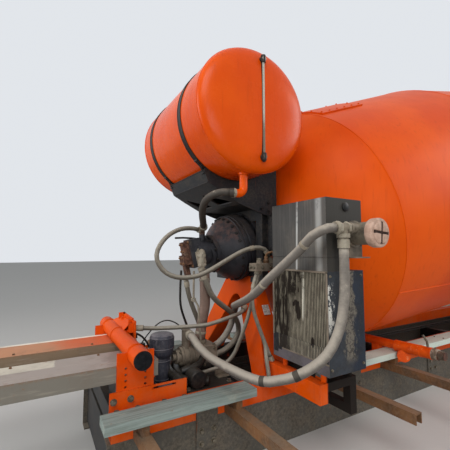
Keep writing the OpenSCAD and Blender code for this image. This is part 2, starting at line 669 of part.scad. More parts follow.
// Boards beside the subframe, their brackets, and the wash pipe
board_y = [474, 605];
board_z = [417, 462];
boards = [[3100, 2240], [1700, -2300]];
module side_boards() {
    color(pale) both_sides() for (b = boards) box([b[1], b[0]], board_y, board_z);
}
bracket_xs = [2900, 2350, 1500, 840, -700, -2150];
module board_brackets() {
    color(rust) both_sides() for (x = bracket_xs) {
        difference() {
            box([x - 30, x + 30], [rail_y, 1130], [300, 360]);
            box([x - 22, x + 22], [rail_y + 8, 1131], [299, 352]);
        }
        box([x - 20, x + 20], [board_y[0] + 20, board_y[1] - 20], [360, board_z[0]]);
    }
}
wash_x = 840;
wash_z = 505;
wash_y = [290, 585, 874, 915, 960];
wash_rise = 12;
wash_stem_y = 634;
module wash_pipe() {
    color(orange) {
        rod([wash_x, wash_y[0], wash_z], [wash_x, wash_y[1] + 5, wash_z + wash_rise * 0.4], 34);
        rod([wash_x, wash_y[1], wash_z + wash_rise * 0.4], [wash_x, wash_y[2] + 1, wash_z + wash_rise], 42);
        rod([wash_x, wash_stem_y, wash_z], [wash_x, wash_stem_y, wash_z - 75], 20);
        rod([wash_x + 8, wash_stem_y + 18, wash_z - 55], [wash_x + 30, wash_stem_y + 36, wash_z - 55], 48);
        box([wash_x - 30, wash_x + 30], [385, 445], [sub_top, wash_z - 20]);
    }
    top = wash_z + wash_rise;
    color(steel) rod([wash_x, wash_y[2], top], [wash_x, wash_y[3], top + 2], 40);
    color(rust) rod([wash_x, wash_y[3] - 1, top + 2], [wash_x, wash_y[4], top + 3], 30);
}

// Drum
head_end = 590;
head_s = 45;
hub_r = 250;
function sag(r) = dish_r - sqrt(dish_r * dish_r - r * r);
head_pts = [for (k = [0 : 8]) let (r = hub_r + (seam_r - hub_r) * k / 8)
    [r, head_s + (head_end - head_s) * (sag(r) - sag(hub_r)) / (sag(seam_r) - sag(hub_r))]];
function shell_r(s) = s < cone_end ? seam_r + (drum_r - seam_r) * (s - head_end) / (cone_end - head_end)
    : s < cyl_end ? drum_r : drum_r + (mouth_r - drum_r) * (s - cyl_end) / (mouth_s - cyl_end);
outer_pts = concat(head_pts, [[drum_r, cone_end], [drum_r, cyl_end], [mouth_r, mouth_s]]);
module drum_shell() {
    color(orange) on_axis() {
        difference() {
            rotate_extrude($fn = 96) polygon(concat([[0, head_s]], outer_pts,
                [[mouth_r - drum_wall, mouth_s], [drum_r - drum_wall, cyl_end],
                    [drum_r - drum_wall, cone_end]],
                [for (k = [8 : -1 : 0]) [head_pts[k][0] - drum_wall * 0.7, head_pts[k][1] + drum_wall]],
                [[0, head_s + 20]]));
        }
        translate([0, 0, 6]) cylinder(h = head_s - 6 + 1, r = hub_r);
    }
}
// Two spiral blades inside the rear cone: start angle of each.
blade_h = 260;
blade_pitch = 1500;
blade_s = [3300, 4940];
blade_steps = 40;
module drum_blade(start) {
    n = blade_steps;
    pts = [for (k = [0 : n]) let (s = blade_s[0] + (blade_s[1] - blade_s[0]) * k / n,
            a = start + 360 * s / blade_pitch, r1 = shell_r(s + 4) - drum_wall - e, r0 = r1 - blade_h)
        each [[r0 * cos(a), r0 * sin(a), s - 4], [r1 * cos(a), r1 * sin(a), s - 4],
            [r1 * cos(a), r1 * sin(a), s + 4], [r0 * cos(a), r0 * sin(a), s + 4]]];
    skin = [for (k = [0 : n - 1]) for (j = [0 : 3]) let (m = (j + 1) % 4)
        each [[4 * k + j, 4 * k + 4 + m, 4 * k + m], [4 * k + j, 4 * k + 4 + j, 4 * k + 4 + m]]];
    polyhedron(points = pts, faces = concat([[0, 1, 2], [0, 2, 3]], [for (f = skin) [f[0], f[1], f[2]]],
        [[4 * n, 4 * n + 2, 4 * n + 1], [4 * n, 4 * n + 3, 4 * n + 2]]));
}
module drum_blades() {
    color(steel) on_axis() for (a = [0, 180]) drum_blade(a);
}
ring_r = shell_r(ring_s) + ring_t;
module drum_ring() {
    color(steel) on_axis() rotate_extrude($fn = 96)
        polygon([[shell_r(ring_s - ring_w / 2) + e, ring_s - ring_w / 2], [ring_r, ring_s - ring_w / 2],
            [ring_r, ring_s + ring_w / 2], [shell_r(ring_s + ring_w / 2) + e, ring_s + ring_w / 2]]);
}
hatch_s = [640, 1120];
module drum_hatch() {
    color(orange) on_axis() rotate(-6) rotate_extrude(angle = 34, $fn = 96)
        polygon([[shell_r(hatch_s[0]) + 0.5, hatch_s[0]], [shell_r(hatch_s[1]) + 0.5, hatch_s[1]],
            [shell_r(hatch_s[1]) + 12, hatch_s[1]], [shell_r(hatch_s[0]) + 12, hatch_s[0]]]);
}

// Rear pedestal and rollers
roller_c = ring_r + e + roller_r;
roller_u = -roller_c * cos(roller_angle);
roller_v = roller_c * sin(roller_angle);
beam_u = [-1150, -1050];
beam_s = [ring_s - 75, ring_s + 75];
cheek_s = [[ring_s - 65, ring_s - 45], [ring_s + 45, ring_s + 65]];
module rear_pedestal() {
    color(orange) {
        on_axis() {
            difference() {
                translate([beam_u[0], -640, beam_s[0]])
                    cube([beam_u[1] - beam_u[0], 1280, beam_s[1] - beam_s[0]]);
                translate([beam_u[0] + 8, -650, beam_s[0] + 8])
                    cube([beam_u[1] - beam_u[0] - 16, 1300, beam_s[1] - beam_s[0] - 16]);
            }
            for (y = [-roller_v, roller_v]) {
                for (c = cheek_s) translate([0, 0, c[0]]) linear_extrude(c[1] - c[0]) polygon([
                    [beam_u[1], y - 90], [roller_u - 10, y - 42], [roller_u + 38, y - 25],
                    [roller_u + 38, y + 25], [roller_u - 10, y + 42], [beam_u[1], y + 90]]);
                translate([roller_u, y, cheek_s[0][1]]) cylinder(h = cheek_s[1][0] - cheek_s[0][1], r = 28);
            }
        }
        both_sides() {
            translate([0, rail_y, 0]) rotate([90, 0, 0]) linear_extrude(sub_w)
                polygon([[-2650, sub_top], [-2280, sub_top], axis_pt(beam_s[0], beam_u[0]),
                    axis_pt(beam_s[1], beam_u[0])]);
        }
        box([-2520, -2440], [-(rail_y - sub_w), rail_y - sub_w], [820, 920]);
    }
}
module roller(y) {
    color(steel) on_axis(ring_s) translate([roller_u, y, 0]) difference() {
        union() {
            cylinder(h = roller_w, r = roller_r, center = true);
            cylinder(h = 2 * 45 - 2, r = 45, center = true);
        }
        cylinder(h = 200, r = 28 + e, center = true);
    }
}

// Rear end: hopper, funnel, chutes
hop_mouth_x = [-3900, -3000];
hop_mouth_y = 480;
hop_z = [2760, 3230];
hop_throat_x = [-3330, -3010];
hop_throat_y = 190;
module hop_solid(g) {
    hull() {
        translate([hop_mouth_x[0] + g, -hop_mouth_y + g, hop_z[1] - 1])
            cube([hop_mouth_x[1] - hop_mouth_x[0] - 2 * g, 2 * hop_mouth_y - 2 * g, 1 + (g > 0 ? 1 : 0)]);
        translate([hop_throat_x[0] + g, -hop_throat_y + g, hop_z[0] - (g > 0 ? 1 : 0)])
            cube([hop_throat_x[1] - hop_throat_x[0] - 2 * g, 2 * hop_throat_y - 2 * g, 1 + (g > 0 ? 1 : 0)]);
    }
}
spout_s = mouth_s - 150;
spout = [[hop_throat_x[0], hop_z[0]], [hop_throat_x[1], hop_z[0]], axis_pt(spout_s, 60),
    axis_pt(spout_s, -230)];
spout_in = [spout[0] + [8, 0], spout[1] + [-8, 0], spout[2] + 0.1 * (spout[2] - spout[1]) + [-6, -6],
    spout[3] + 0.1 * (spout[3] - spout[0]) + [6, 6]];
post_x = [-3180, -3100];
post_y = [640, 720];
module charge_hopper() {
    color(orange) {
        difference() {
            union() {
                hop_solid(0);
                both_sides() box(post_x, [290, post_y[1]], [3000, 3060]);
            }
            hop_solid(6);
        }
        translate([0, hop_throat_y, 0]) rotate([90, 0, 0]) difference() {
            linear_extrude(2 * hop_throat_y) polygon(spout);
            translate([0, 0, 6]) linear_extrude(2 * hop_throat_y - 12) polygon(spout_in);
        }
    }
}
module rear_posts() {
    color(orange) both_sides() {
        box(post_x, post_y, [sub_top - 120, 3000]);
        box(post_x, [rail_y, post_y[0]], [sub_top - 120, sub_top - 20]);
    }
}
// Collector under the drum's mouth: a slanted rim narrowing to a round outlet.
collect_x = [-3830, -2985];
collect_y = 430;
collect_z = [1500, 1830];
collect_tilt = 14.6;
outlet_r = 180;
collect_len = (collect_x[1] - collect_x[0]) / cos(collect_tilt);
module collector(g) {
    hull() {
        translate([collect_x[1], 0, collect_z[1]]) rotate([0, collect_tilt, 0])
            translate([-collect_len + g, -collect_y + g, g > 0 ? 0 : -1])
                cube([collect_len - 2 * g, 2 * (collect_y - g), 1]);
        translate([swivel_x, 0, collect_z[0] - (g > 0 ? 1 : 0)]) cylinder(h = 1, r = outlet_r - g, $fn = 32);
    }
}
module discharge_funnel() {
    color(orange) difference() {
        union() {
            collector(0);
            both_sides() box(post_x, [300, post_y[0]], [1700, 1760]);
        }
        collector(6);
    }
}
socket_z = [900, 1060];
module chute_console() {
    color(dark) {
        difference() {
            union() {
                translate([swivel_x, 0, socket_z[0]]) cylinder(h = socket_z[1] - socket_z[0], r = 70);
                translate([0, 60, 0]) rotate([90, 0, 0]) linear_extrude(120)
                    polygon([[swivel_x + 30, socket_z[0]], [swivel_x + 30, socket_z[1] - 20], [-3260, 760],
                        [-3260, 420], [-3300, 420]]);
                box([-3260, -3170], [-60, 60], [420, 700]);
            }
            translate([swivel_x, 0, socket_z[0] - 30]) cylinder(h = 400, r = 35 + e);
        }
    }
}
pivot_z = 1260;
fork_y = [250, 262];
trough_u = 170;
module chute_swivel() {
    color(orange) {
        translate([swivel_x, 0, socket_z[0] - 10]) cylinder(h = socket_z[1] - socket_z[0] + 20, r = 35);
        translate([swivel_x, 0, socket_z[1] + 1]) cylinder(h = 30, r = 90);
        box([swivel_x - 45, swivel_x + 45], [-fork_y[1], fork_y[1]], [socket_z[1] + 30, socket_z[1] + 60]);
        both_sides() difference() {
            box([swivel_x - 45, swivel_x + 45], fork_y, [socket_z[1] + 30, pivot_z + 45]);
            translate([swivel_x, 0, pivot_z]) rotate([-90, 0, 0]) cylinder(h = 500, r = 16 + e);
        }
    }
}
// Chute frame: origin at the tilt pivot, local X runs down the chute.
module on_chute() {
    translate([swivel_x, 0, pivot_z]) rotate([0, 0, 180]) rotate([0, chute_slope, 0]) children();
}
module trough(from, to, r) {
    translate([from, 0, trough_u]) rotate([0, 90, 0]) difference() {
        cylinder(h = to - from, r = r);
        translate([0, 0, -1]) cylinder(h = to - from + 2, r = r - trough_wall);
        translate([-2 * r, -2 * r, -1]) cube([2 * r, 4 * r, to - from + 2]);
    }
}
hinge_x = chute_len + 6;
hinge_u = trough_u + 22;
module main_chute() {
    color(orange) on_chute() {
        trough(-140, chute_len, trough_r);
        both_sides() {
            box([-40, 40], [trough_r - 6, trough_r + 8], [-30, trough_u]);
            rod([0, trough_r + 7, 0], [0, fork_y[1], 0], 16);
            difference() {
                box([chute_len - 60, hinge_x + 22], [trough_r + 1, trough_r + 9],
                    [trough_u - 40, hinge_u + 18]);
                translate([hinge_x, 0, hinge_u]) rotate([-90, 0, 0]) cylinder(h = 400, r = 8 + e);
            }
            box([chute_len - 60, chute_len - 30], [trough_r - 4, trough_r + 2], [trough_u - 40, trough_u]);
        }
        translate([210, -20, -100]) cube([750, 40, 42]);
    }
}
module extension_chute() {
    color(orange) on_chute() {
        trough(hinge_x + 6, hinge_x + ext_len, trough_r);
        both_sides() {
            box([hinge_x + 30, hinge_x + 80], [trough_r - 4, trough_r + 19], [trough_u - 40, trough_u]);
            box([hinge_x - 16, hinge_x + 80], [trough_r + 11, trough_r + 19], [trough_u - 20, hinge_u + 16]);
            rod([hinge_x, trough_r + 1, hinge_u], [hinge_x, trough_r + 12, hinge_u], 8);
        }
    }
}

// Ladder and platform at the left rear
ladder_x = [-2960, -2560];
ladder_y = 1040;
module access_ladder() {
    color(orange) {
        for (x = ladder_x) box([x - 20, x + 20], [ladder_y - 40, ladder_y], [330, 2900]);
        for (k = [0 : 6]) let (z = 480 + k * 280)
            rod([ladder_x[0], ladder_y - 20, z], [ladder_x[1], ladder_y - 20, z], 13);
        difference() {
            box([ladder_x[0] - 20, ladder_x[1] + 20], [760, ladder_y - 40], [2260, 2290]);
            for (i = [0 : 5], j = [0 : 2])
                translate([ladder_x[0] + i * 68 + 10, 785 + j * 68, 2250]) cube([40, 40, 50]);
        }
        for (x = ladder_x) box([x - 20, x + 20], [760, 800], [sub_top - 20, 2260]);
        for (x = ladder_x) box([x - 20, x + 20], [rail_y, ladder_y - 40], [sub_top - 60, sub_top - 20]);
    }
}

carrier_rails();
crossmembers();
subframe_rails();
neck_beams();
cross_tube();
tube_brackets();
front_pedestal();
gearbox();
hydraulic_motor();
hydraulic_pump();
filter_canister();
tank_cradle();
water_tank();
tank_straps();
sight_tube();
tank_outlet();
cooler_outrigger();
oil_tank();
cooler_core();
cooler_shroud();
cooler_fan();
return_filter();
valve_manifold();
hose_fittings();
color(dust) hose(return_route, return_r);  // return_hose
color(dust) hose(suction_route, suction_r);  // suction_hose
color(dust) hose(loop_route, loop_r);  // loop_hose
color(dust) hose(motor_hose_route, motor_hose_r);  // motor_hose
color(dust) hose(tank_hose_route, tank_hose_r);  // tank_hose
color(dust) hose(riser_route, riser_r);  // riser_hose
color(dust) hose(vent_route, vent_r);  // vent_hose
color(dust) hose(drain_a_route, drain_r);  // drain_hose_a
color(dust) hose(drain_b_route, drain_r);  // drain_hose_b
color(dark) hose(water_route, water_r);  // water_hose
side_boards();
board_brackets();
wash_pipe();
drum_shell();
drum_blades();
drum_ring();
drum_hatch();
rear_pedestal();
roller(roller_v);  // left_roller
roller(-roller_v);  // right_roller
charge_hopper();
rear_posts();
discharge_funnel();
chute_console();
chute_swivel();
main_chute();
extension_chute();
access_ladder();
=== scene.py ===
import math
from contextlib import contextmanager
import bmesh
import bpy
from mathutils import Matrix, Vector


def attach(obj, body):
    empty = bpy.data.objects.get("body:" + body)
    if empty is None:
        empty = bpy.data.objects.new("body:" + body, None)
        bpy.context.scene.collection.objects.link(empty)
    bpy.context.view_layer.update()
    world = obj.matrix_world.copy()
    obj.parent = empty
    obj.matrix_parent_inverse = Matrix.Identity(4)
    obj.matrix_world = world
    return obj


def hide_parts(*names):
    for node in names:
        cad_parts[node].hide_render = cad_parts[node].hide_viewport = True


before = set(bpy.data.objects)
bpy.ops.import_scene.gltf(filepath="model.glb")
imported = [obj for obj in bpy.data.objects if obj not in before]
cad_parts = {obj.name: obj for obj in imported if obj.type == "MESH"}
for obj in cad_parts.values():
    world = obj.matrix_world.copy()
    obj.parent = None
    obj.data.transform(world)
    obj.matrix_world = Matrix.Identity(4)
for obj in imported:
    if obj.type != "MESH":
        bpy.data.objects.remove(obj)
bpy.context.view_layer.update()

FRONT, LEFT, UP = Vector((1, 0, 0)), Vector((0, 1, 0)), Vector((0, 0, 1))
SIDES = (1, -1)
# Drum axis: s runs from the gearbox flange up and back, u is square to it in the centre plane.
TILT = math.radians(13.5)
ALONG = Vector((-math.cos(TILT), 0, math.sin(TILT)))
ABOVE = Vector((math.sin(TILT), 0, math.cos(TILT)))
FLANGE = Vector((1.912, 0, 1.334))
DECK_Z = 0.42
# Front face and outer side of the oil tank and the cooler below it.
COOLER_FRONT, COOLER_SIDE = 2.08, 1.02
# Distance of the motor's end plate along the drum's axis.
MOTOR_END = -0.53


def axis_point(s, u=0.0, y=0.0):
    """A point some way along the drum's axis, above it and to its left."""
    return FLANGE + ALONG * s + ABOVE * u + LEFT * y


def around(s, r, degrees):
    """A point round the drum's axis, its angle starting at the top."""
    a = math.radians(degrees)
    return axis_point(s, r * math.cos(a), r * math.sin(a))


def new_object(name, data):
    """An object that is in the scene."""
    obj = bpy.data.objects.new(name, data)
    bpy.context.scene.collection.objects.link(obj)
    return obj


# Camera and hoses
def set_camera():
    """The camera solved from the photo."""
    data = bpy.data.cameras.new("camera")
    data.sensor_width = 36.0
    data.lens = 25.87
    data.clip_end = 100.0
    cam = new_object("camera", data)
    back = Vector((0.4989, 0.8631, -0.0795)).normalized()
    right = UP.cross(back).normalized()
    matrix = Matrix((right, back.cross(right), back)).transposed().to_4x4()
    matrix.translation = Vector((3.400, 2.232, 1.276))
    cam.matrix_world = matrix
    bpy.context.scene.camera = cam


set_camera()
FINE_STEPS = 24


def smooth_route(points, count):
    """The same route as count points evenly spaced on a curve through the given ones."""
    p = [Vector(q) for q in points]
    p = [p[0] * 2 - p[1]] + p + [p[-1] * 2 - p[-2]]
    fine = []
    for i in range(1, len(p) - 2):
        for k in range(FINE_STEPS):
            t = k / FINE_STEPS
            fine.append(0.5 * (2 * p[i] + (p[i + 1] - p[i - 1]) * t
                + (2 * p[i - 1] - 5 * p[i] + 4 * p[i + 1] - p[i + 2]) * t * t
                + (3 * p[i] - p[i - 1] - 3 * p[i + 1] + p[i + 2]) * t ** 3))
    fine.append(p[-2])
    far = [0.0]
    for a, b in zip(fine, fine[1:]):
        far.append(far[-1] + (b - a).length)
    out, i = [], 0
    for k in range(count):
        want = far[-1] * k / (count - 1)
        while i < len(far) - 2 and far[i + 1] < want:
            i += 1
        span = far[i + 1] - far[i]
        out.append(fine[i].lerp(fine[i + 1], min(1.0, (want - far[i]) / span)))
    return out


def route_length(points):
    return sum((b - a).length for a, b in zip(points, points[1:]))


def tube(bm, points, radius, sides):
    """A closed tube along the points, its UV running in metres along it and once round it."""
    uv = bm.loops.layers.uv.verify()
    rings, normal, run = [], None, [0.0]
    for i, p in enumerate(points):
        ahead = points[min(i + 1, len(points) - 1)] - points[max(i - 1, 0)]
        ahead.normalize()
        if normal is None:
            normal = UP if abs(ahead.z) < 0.8 else FRONT
        normal = (normal - ahead * normal.dot(ahead)).normalized()
        side = ahead.cross(normal)
        rings.append([bm.verts.new(p + radius * (math.cos(math.tau * k / sides) * normal
            + math.sin(math.tau * k / sides) * side)) for k in range(sides)])
        if i:
            run.append(run[-1] + (p - points[i - 1]).length)
    for i in range(len(rings) - 1):
        for k in range(sides):
            m = (k + 1) % sides
            face = bm.faces.new((rings[i][k], rings[i][m], rings[i + 1][m], rings[i + 1][k]))
            face.smooth = True
            for loop, (u, v) in zip(face.loops, ((i, k), (i, k + 1), (i + 1, k + 1), (i + 1, k))):
                loop[uv].uv = (run[u], v / sides)
    bm.faces.new(list(reversed(rings[0])))
    bm.faces.new(rings[-1])


# Each hose: radius, number of points, stiffness, route drawn over the photo.
HOSES = {
    "return_hose": (0.025, 40, "medium", [(2.082, 1.08, 1.395), (2.145, 1.07, 1.386),
        (2.185, 1.01, 1.345), (2.195, 0.94, 1.28), (2.255, 0.74, 1.11), (2.26, 0.65, 1.04),
        (2.245, 0.52, 0.975), (2.145, 0.2, 0.88), (2.07, 0.09, 0.86), (2.015, 0, 0.825), (2, -0.05, 0.76),
        (2.025, -0.06, 0.67), (2.085, -0.06, 0.59), (2.15, -0.056, 0.545), (2.224, -0.05, 0.525)]),
    "suction_hose": (0.025, 36, "medium", [(2.02, 1.08, 1.29), (2.02, 1.08, 1.16), (2.03, 1.08, 1.02),
        (2.07, 1.08, 0.88), (2.15, 1.065, 0.76), (2.25, 1.01, 0.68), (2.33, 0.93, 0.635),
        (2.405, 0.82, 0.615), (2.49, 0.54, 0.645), (2.51, 0.38, 0.68), (2.495, 0.26, 0.702),
        (2.48, 0.18, 0.702)]),
    "loop_hose": (0.016, 40, "medium", [(2.376, 0.06, 1.432), (2.43, 0.065, 1.44), (2.52, 0.072, 1.43),
        (2.62, 0.09, 1.38), (2.69, 0.11, 1.3), (2.71, 0.13, 1.225), (2.675, 0.15, 1.15),
        (2.605, 0.18, 1.105), (2.51, 0.21, 1.098), (2.4, 0.24, 1.128), (2.165, 0.31, 1.265),
        (2.06, 0.345, 1.298), (1.99, 0.364, 1.285), (1.965, 0.374, 1.228)]),
    "motor_hose": (0.02, 36, "stiff", [(2.365, 0.11, 1.135), (2.338, 0.12, 1.055), (2.275, 0.124, 0.935),
        (2.105, 0.075, 0.812), (2.04, 0.045, 0.75), (2, 0.02, 0.685), (1.998, 0.01, 0.625),
        (2.055, 0.015, 0.555), (2.15, 0.04, 0.52), (2.226, 0.06, 0.512)]),
    "tank_hose": (0.017, 22, "stiff", [(2.43, -0.03, 1.062), (2.405, -0.04, 0.96), (2.375, -0.04, 0.87),
        (2.308, -0.04, 0.705), (2.3, -0.04, 0.625)]),
    "riser_hose": (0.038, 16, "stiff", [(2.31, 0.04, 1.11), (2.305, 0.04, 0.89), (2.322, 0.036, 0.78),
        (2.335, 0.03, 0.68), (2.338, 0.03, 0.63)]),
    "vent_hose": (0.014, 30, "medium", [(2.05, 0.168, 0.838), (2.09, 0.178, 0.815), (2.295, 0.19, 0.775),
        (2.405, 0.17, 0.76), (2.65, 0.07, 0.752), (2.76, 0.02, 0.755)]),
    "drain_hose_a": (0.013, 26, "medium", [(2.08, 0.385, 1.115), (2.115, 0.4, 1.05), (2.145, 0.425, 0.95),
        (2.135, 0.445, 0.84), (2.075, 0.488, 0.64), (2.062, 0.505, 0.59)]),
    "drain_hose_b": (0.013, 34, "medium", [(2.045, 0.365, 1.115), (2.105, 0.35, 0.9), (2.14, 0.34, 0.78),
        (2.188, 0.29, 0.6), (2.23, 0.268, 0.53), (2.3, 0.255, 0.492), (2.43, 0.238, 0.468),
        (2.455, 0.234, 0.442)]),
    "water_hose": (0.024, 26, "medium", [(2.398, 0.56, 1.63), (2.44, 0.53, 1.632), (2.472, 0.47, 1.62),
        (2.482, 0.4, 1.595), (2.47, 0.33, 1.555), (2.44, 0.265, 1.512), (2.398, 0.19, 1.478),
        (2.364, 0.128, 1.456)]),
}
ROUTES = {name: smooth_route(points, count) for name, (_, count, _, points) in HOSES.items()}


def lay_hoses():
    """A skin for each hose on the frame, in place of its own part."""
    pieces = {}
    for name, (radius, _, stiffness, _) in HOSES.items():
        path = ROUTES[name]
        bm = bmesh.new()
        tube(bm, path, radius, 16)
        mesh = bpy.data.meshes.new(name + "_skin")
        bm.to_mesh(mesh)
        bm.free()
        skin = new_object(name + "_skin", mesh)
        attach(skin, "frame")
        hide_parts(name)
        round(route_length(path), 3)
        pieces[name] = skin
    return pieces


hose_pieces = lay_hoses()


# Shader maths
class Value:
    """A socket of a finish; sums on it add Math nodes."""

    def __init__(self, finish, socket):
        self.finish = finish
        self.socket = socket

    def _sum(self, operation, a, b=0.0):
        return self.finish.node("ShaderNodeMath", {"operation": operation}, {0: a, 1: b})

    def __add__(self, other):
        return self._sum("ADD", self, other)

    __radd__ = __add__

    def __sub__(self, other):
        return self._sum("SUBTRACT", self, other)

    def __rsub__(self, other):
        return self._sum("SUBTRACT", other, self)

    def __mul__(self, other):
        return self._sum("MULTIPLY", self, other)

    __rmul__ = __mul__

    def __truediv__(self, other):
        return self._sum("DIVIDE", self, other)

    def absolute(self):
        return self._sum("ABSOLUTE", self)

    def highest(self, other):
        return self._sum("MAXIMUM", self, other)

    def wave(self):
        return self._sum("SINE", self)


class Finish:
    """A material built from nodes, with its colours written as they look on screen."""

    def __init__(self, name):
        self.material = bpy.data.materials.new(name)
        self.material.use_nodes = True
        self.tree = self.material.node_tree
        self.tree.nodes.clear()
        out = self.tree.nodes.new("ShaderNodeOutputMaterial")
        self.shader = self.tree.nodes.new("ShaderNodeBsdfPrincipled")
        self.tree.links.new(self.shader.outputs[0], out.inputs[0])
        place = self.tree.nodes.new("ShaderNodeTexCoord")
        self.place = Value(self, place.outputs["Object"])
        self.uv = Value(self, place.outputs["UV"])
        self.facing = Value(self, place.outputs["Normal"])

    def node(self, kind, settings=None, inputs=None, output=0):
        made = self.tree.nodes.new(kind)
        for key, value in (settings or {}).items():
            setattr(made, key, value)
        for key, value in (inputs or {}).items():
            if isinstance(value, Value):
                self.tree.links.new(value.socket, made.inputs[key])
            else:
                made.inputs[key].default_value = value
        return Value(self, made.outputs[output])

    def parts(self, vector):
        return [self.node("ShaderNodeSeparateXYZ", None, {0: vector}, k) for k in range(3)]

    def stretched(self, scale, turn=(0, 0, 0)):
        return self.node("ShaderNodeMapping", None,
            {"Vector": self.place, "Scale": scale, "Rotation": turn})

    def noise(self, scale, detail=4.0, rough=0.55, vector=None):
        return self.node("ShaderNodeTexNoise", None,
            {"Vector": vector or self.place, "Scale": scale, "Detail": detail, "Roughness": rough})

    def cells(self, scale):
        return self.node("ShaderNodeTexVoronoi", None, {"Vector": self.place, "Scale": scale})

    def step(self, value, low, high, first=0.0, last=1.0):
        """First below low, last above high, and smooth in between; low may be the greater one."""
        return self.node("ShaderNodeMapRange", {"interpolation_type": "SMOOTHSTEP"},
            {0: value, 1: low, 2: high, 3: first, 4: last})

    def mix(self, first, second, factor):
        pair = [c if isinstance(c, Value) else linear(c) for c in (first, second)]
        return self.node("ShaderNodeMix", {"data_type": "RGBA"}, {0: factor, 6: pair[0], 7: pair[1]}, 2)

    def blend(self, first, second, value, low, high, share=1.0):
        """The first colour, turning into a share of the second as value goes from low to high."""
        return self.mix(first, second, self.step(value, low, high, 0.0, share))

    def edges(self):
        """One along the sharp edges of a piece, nought elsewhere."""
        rounded = self.node("ShaderNodeBevel", {"samples": 4}, {"Radius": 0.004})
        true = self.node("ShaderNodeNewGeometry", None, None, "Normal")
        same = self.node("ShaderNodeVectorMath", {"operation": "DOT_PRODUCT"}, {0: rounded, 1: true}, 1)
        return self.step(same, 0.99, 0.86)

    def surface(self, colour, rough, height=None, depth=0.001, strength=0.6, soft_edge=0.0, **fixed):
        fixed = {"Specular_IOR_Level": 0.22, **fixed}
        for key, value in [("Base Color", colour), ("Roughness", rough)] + list(fixed.items()):
            key = key.replace("_", " ")
            if isinstance(value, Value):
                self.tree.links.new(value.socket, self.shader.inputs[key])
            else:
                value = linear(value) if key == "Base Color" else value
                self.shader.inputs[key].default_value = value
        normal = self.node("ShaderNodeBevel", {"samples": 4}, {"Radius": soft_edge}) if soft_edge else None
        if height is not None:
            inputs = {"Height": height, "Distance": depth, "Strength": strength}
            if normal:
                inputs["Normal"] = normal
            normal = self.node("ShaderNodeBump", None, inputs)
        if normal:
            self.tree.links.new(normal.socket, self.shader.inputs["Normal"])
        return self.material


def linear(colour):
    """A colour of 0 to 255 levels as Blender's linear one."""
    shares = [level / 255 for level in colour]
    return (*(v / 12.92 if v <= 0.04045 else ((v + 0.055) / 1.055) ** 2.4 for v in shares), 1.0)


# Finishes
def orange_paint(name, dust=0.25, chips=0.6, gloss=0.45, low_dirt=0.3, shine=0.07, waves=0.0,
        splashed=False, dark_rail_patches=False):
    """Deep orange enamel, faded here and there, with dust on its tops and chips at its edges.

    It may have waves in its sheet, splashes of concrete at the rear, and darker patches between the rails and
    under the cooler."""
    f = Finish(name)
    x, y, z = f.parts(f.place)
    up = f.parts(f.facing)[2]
    cloud = f.noise(9, 6, 0.65)
    streak = f.noise(3.0, 5, 0.6, f.stretched((14, 14, 1.1)))
    colour = f.blend((222, 84, 2), (208, 70, 0), f.noise(1.6, 3), 0.35, 0.65)
    colour = f.blend(colour, (172, 56, 6), streak, 0.52, 0.78, 0.35)
    grime = f.step(cloud, 0.42, 0.7) * (f.step(up, 0.1, 0.9) * 0.7 + 0.3) * dust
    low = f.step(z, 1.0, 0.3) * f.step(cloud, 0.36, 0.66) * low_dirt
    colour = f.mix(colour, (186, 112, 78), grime.highest(low))
    edge = f.edges() * f.step(f.noise(38, 3), 0.42, 0.56) * chips
    spots = f.step(f.cells(46), 0.16, 0.10) * f.step(f.noise(5, 3), 0.52, 0.66) * chips
    worn = edge.highest(spots)
    colour = f.mix(colour, (88, 46, 30), worn)
    rough = gloss + grime * 0.4 + low * 0.3 + worn * 0.3 + cloud * 0.06
    height = f.noise(160, 2) * 0.15 - worn * 0.6
    if splashed:
        blob = f.step(f.noise(13, 5, 0.6), 0.60, 0.66) * f.step(x, -2.2, -3.0)
        colour = f.mix(colour, (150, 144, 134), blob)
        rough = rough + blob * 0.5
        height = height + blob * 2.0
    if dark_rail_patches:
        # Darker patches between the rails and on the outrigger under the cooler.
        between = f.step(x, 1.5, 1.7) * f.step(y, 0.36, 0.33) * f.step(cloud, 0.25, 0.4)
        below_cooler = f.step(x, 2.03, 2.015) * f.step(y, 0.53, 0.56) * f.step(x, 1.7, 1.75)
        rail_dark_patch = between.highest(below_cooler)
        colour = f.mix(colour, (36, 31, 28), rail_dark_patch)
        rough = rough + rail_dark_patch * 0.2
    if waves:
        height = height + f.noise(7, 2, 0.5, f.stretched((1, 2.4, 0.7))) * waves
    return f.surface(colour, rough, height,
        depth=0.0006, strength=0.5, soft_edge=0.0025, Specular_IOR_Level=shine)


def dirty_paint(name, base, second, dust, gloss, rust):
    """Plain paint under dust, with rust at its edges and in spots."""
    f = Finish(name)
    up = f.parts(f.facing)[2]
    cloud = f.noise(8, 6, 0.65)
    fine = f.noise(60, 4, 0.7)
    streak = f.noise(3.0, 5, 0.6, f.stretched((16, 16, 1.4)))
    colour = f.blend(base, second, cloud, 0.38, 0.66)
    film = (f.step(fine + cloud, 0.85, 1.25) * 0.5 + f.step(up, 0.0, 0.8) * 0.5) * dust
    colour = f.mix(colour, (176, 160, 138), film)
    worn = (f.edges() * f.step(fine, 0.45, 0.6)).highest(f.step(streak, 0.66, 0.72)) * rust
    colour = f.mix(colour, (112, 66, 42), worn)
    return f.surface(colour, film * 0.3 + worn * 0.3 + gloss, fine * 0.4 + worn,
        depth=0.0008, strength=0.5, soft_edge=0.002)


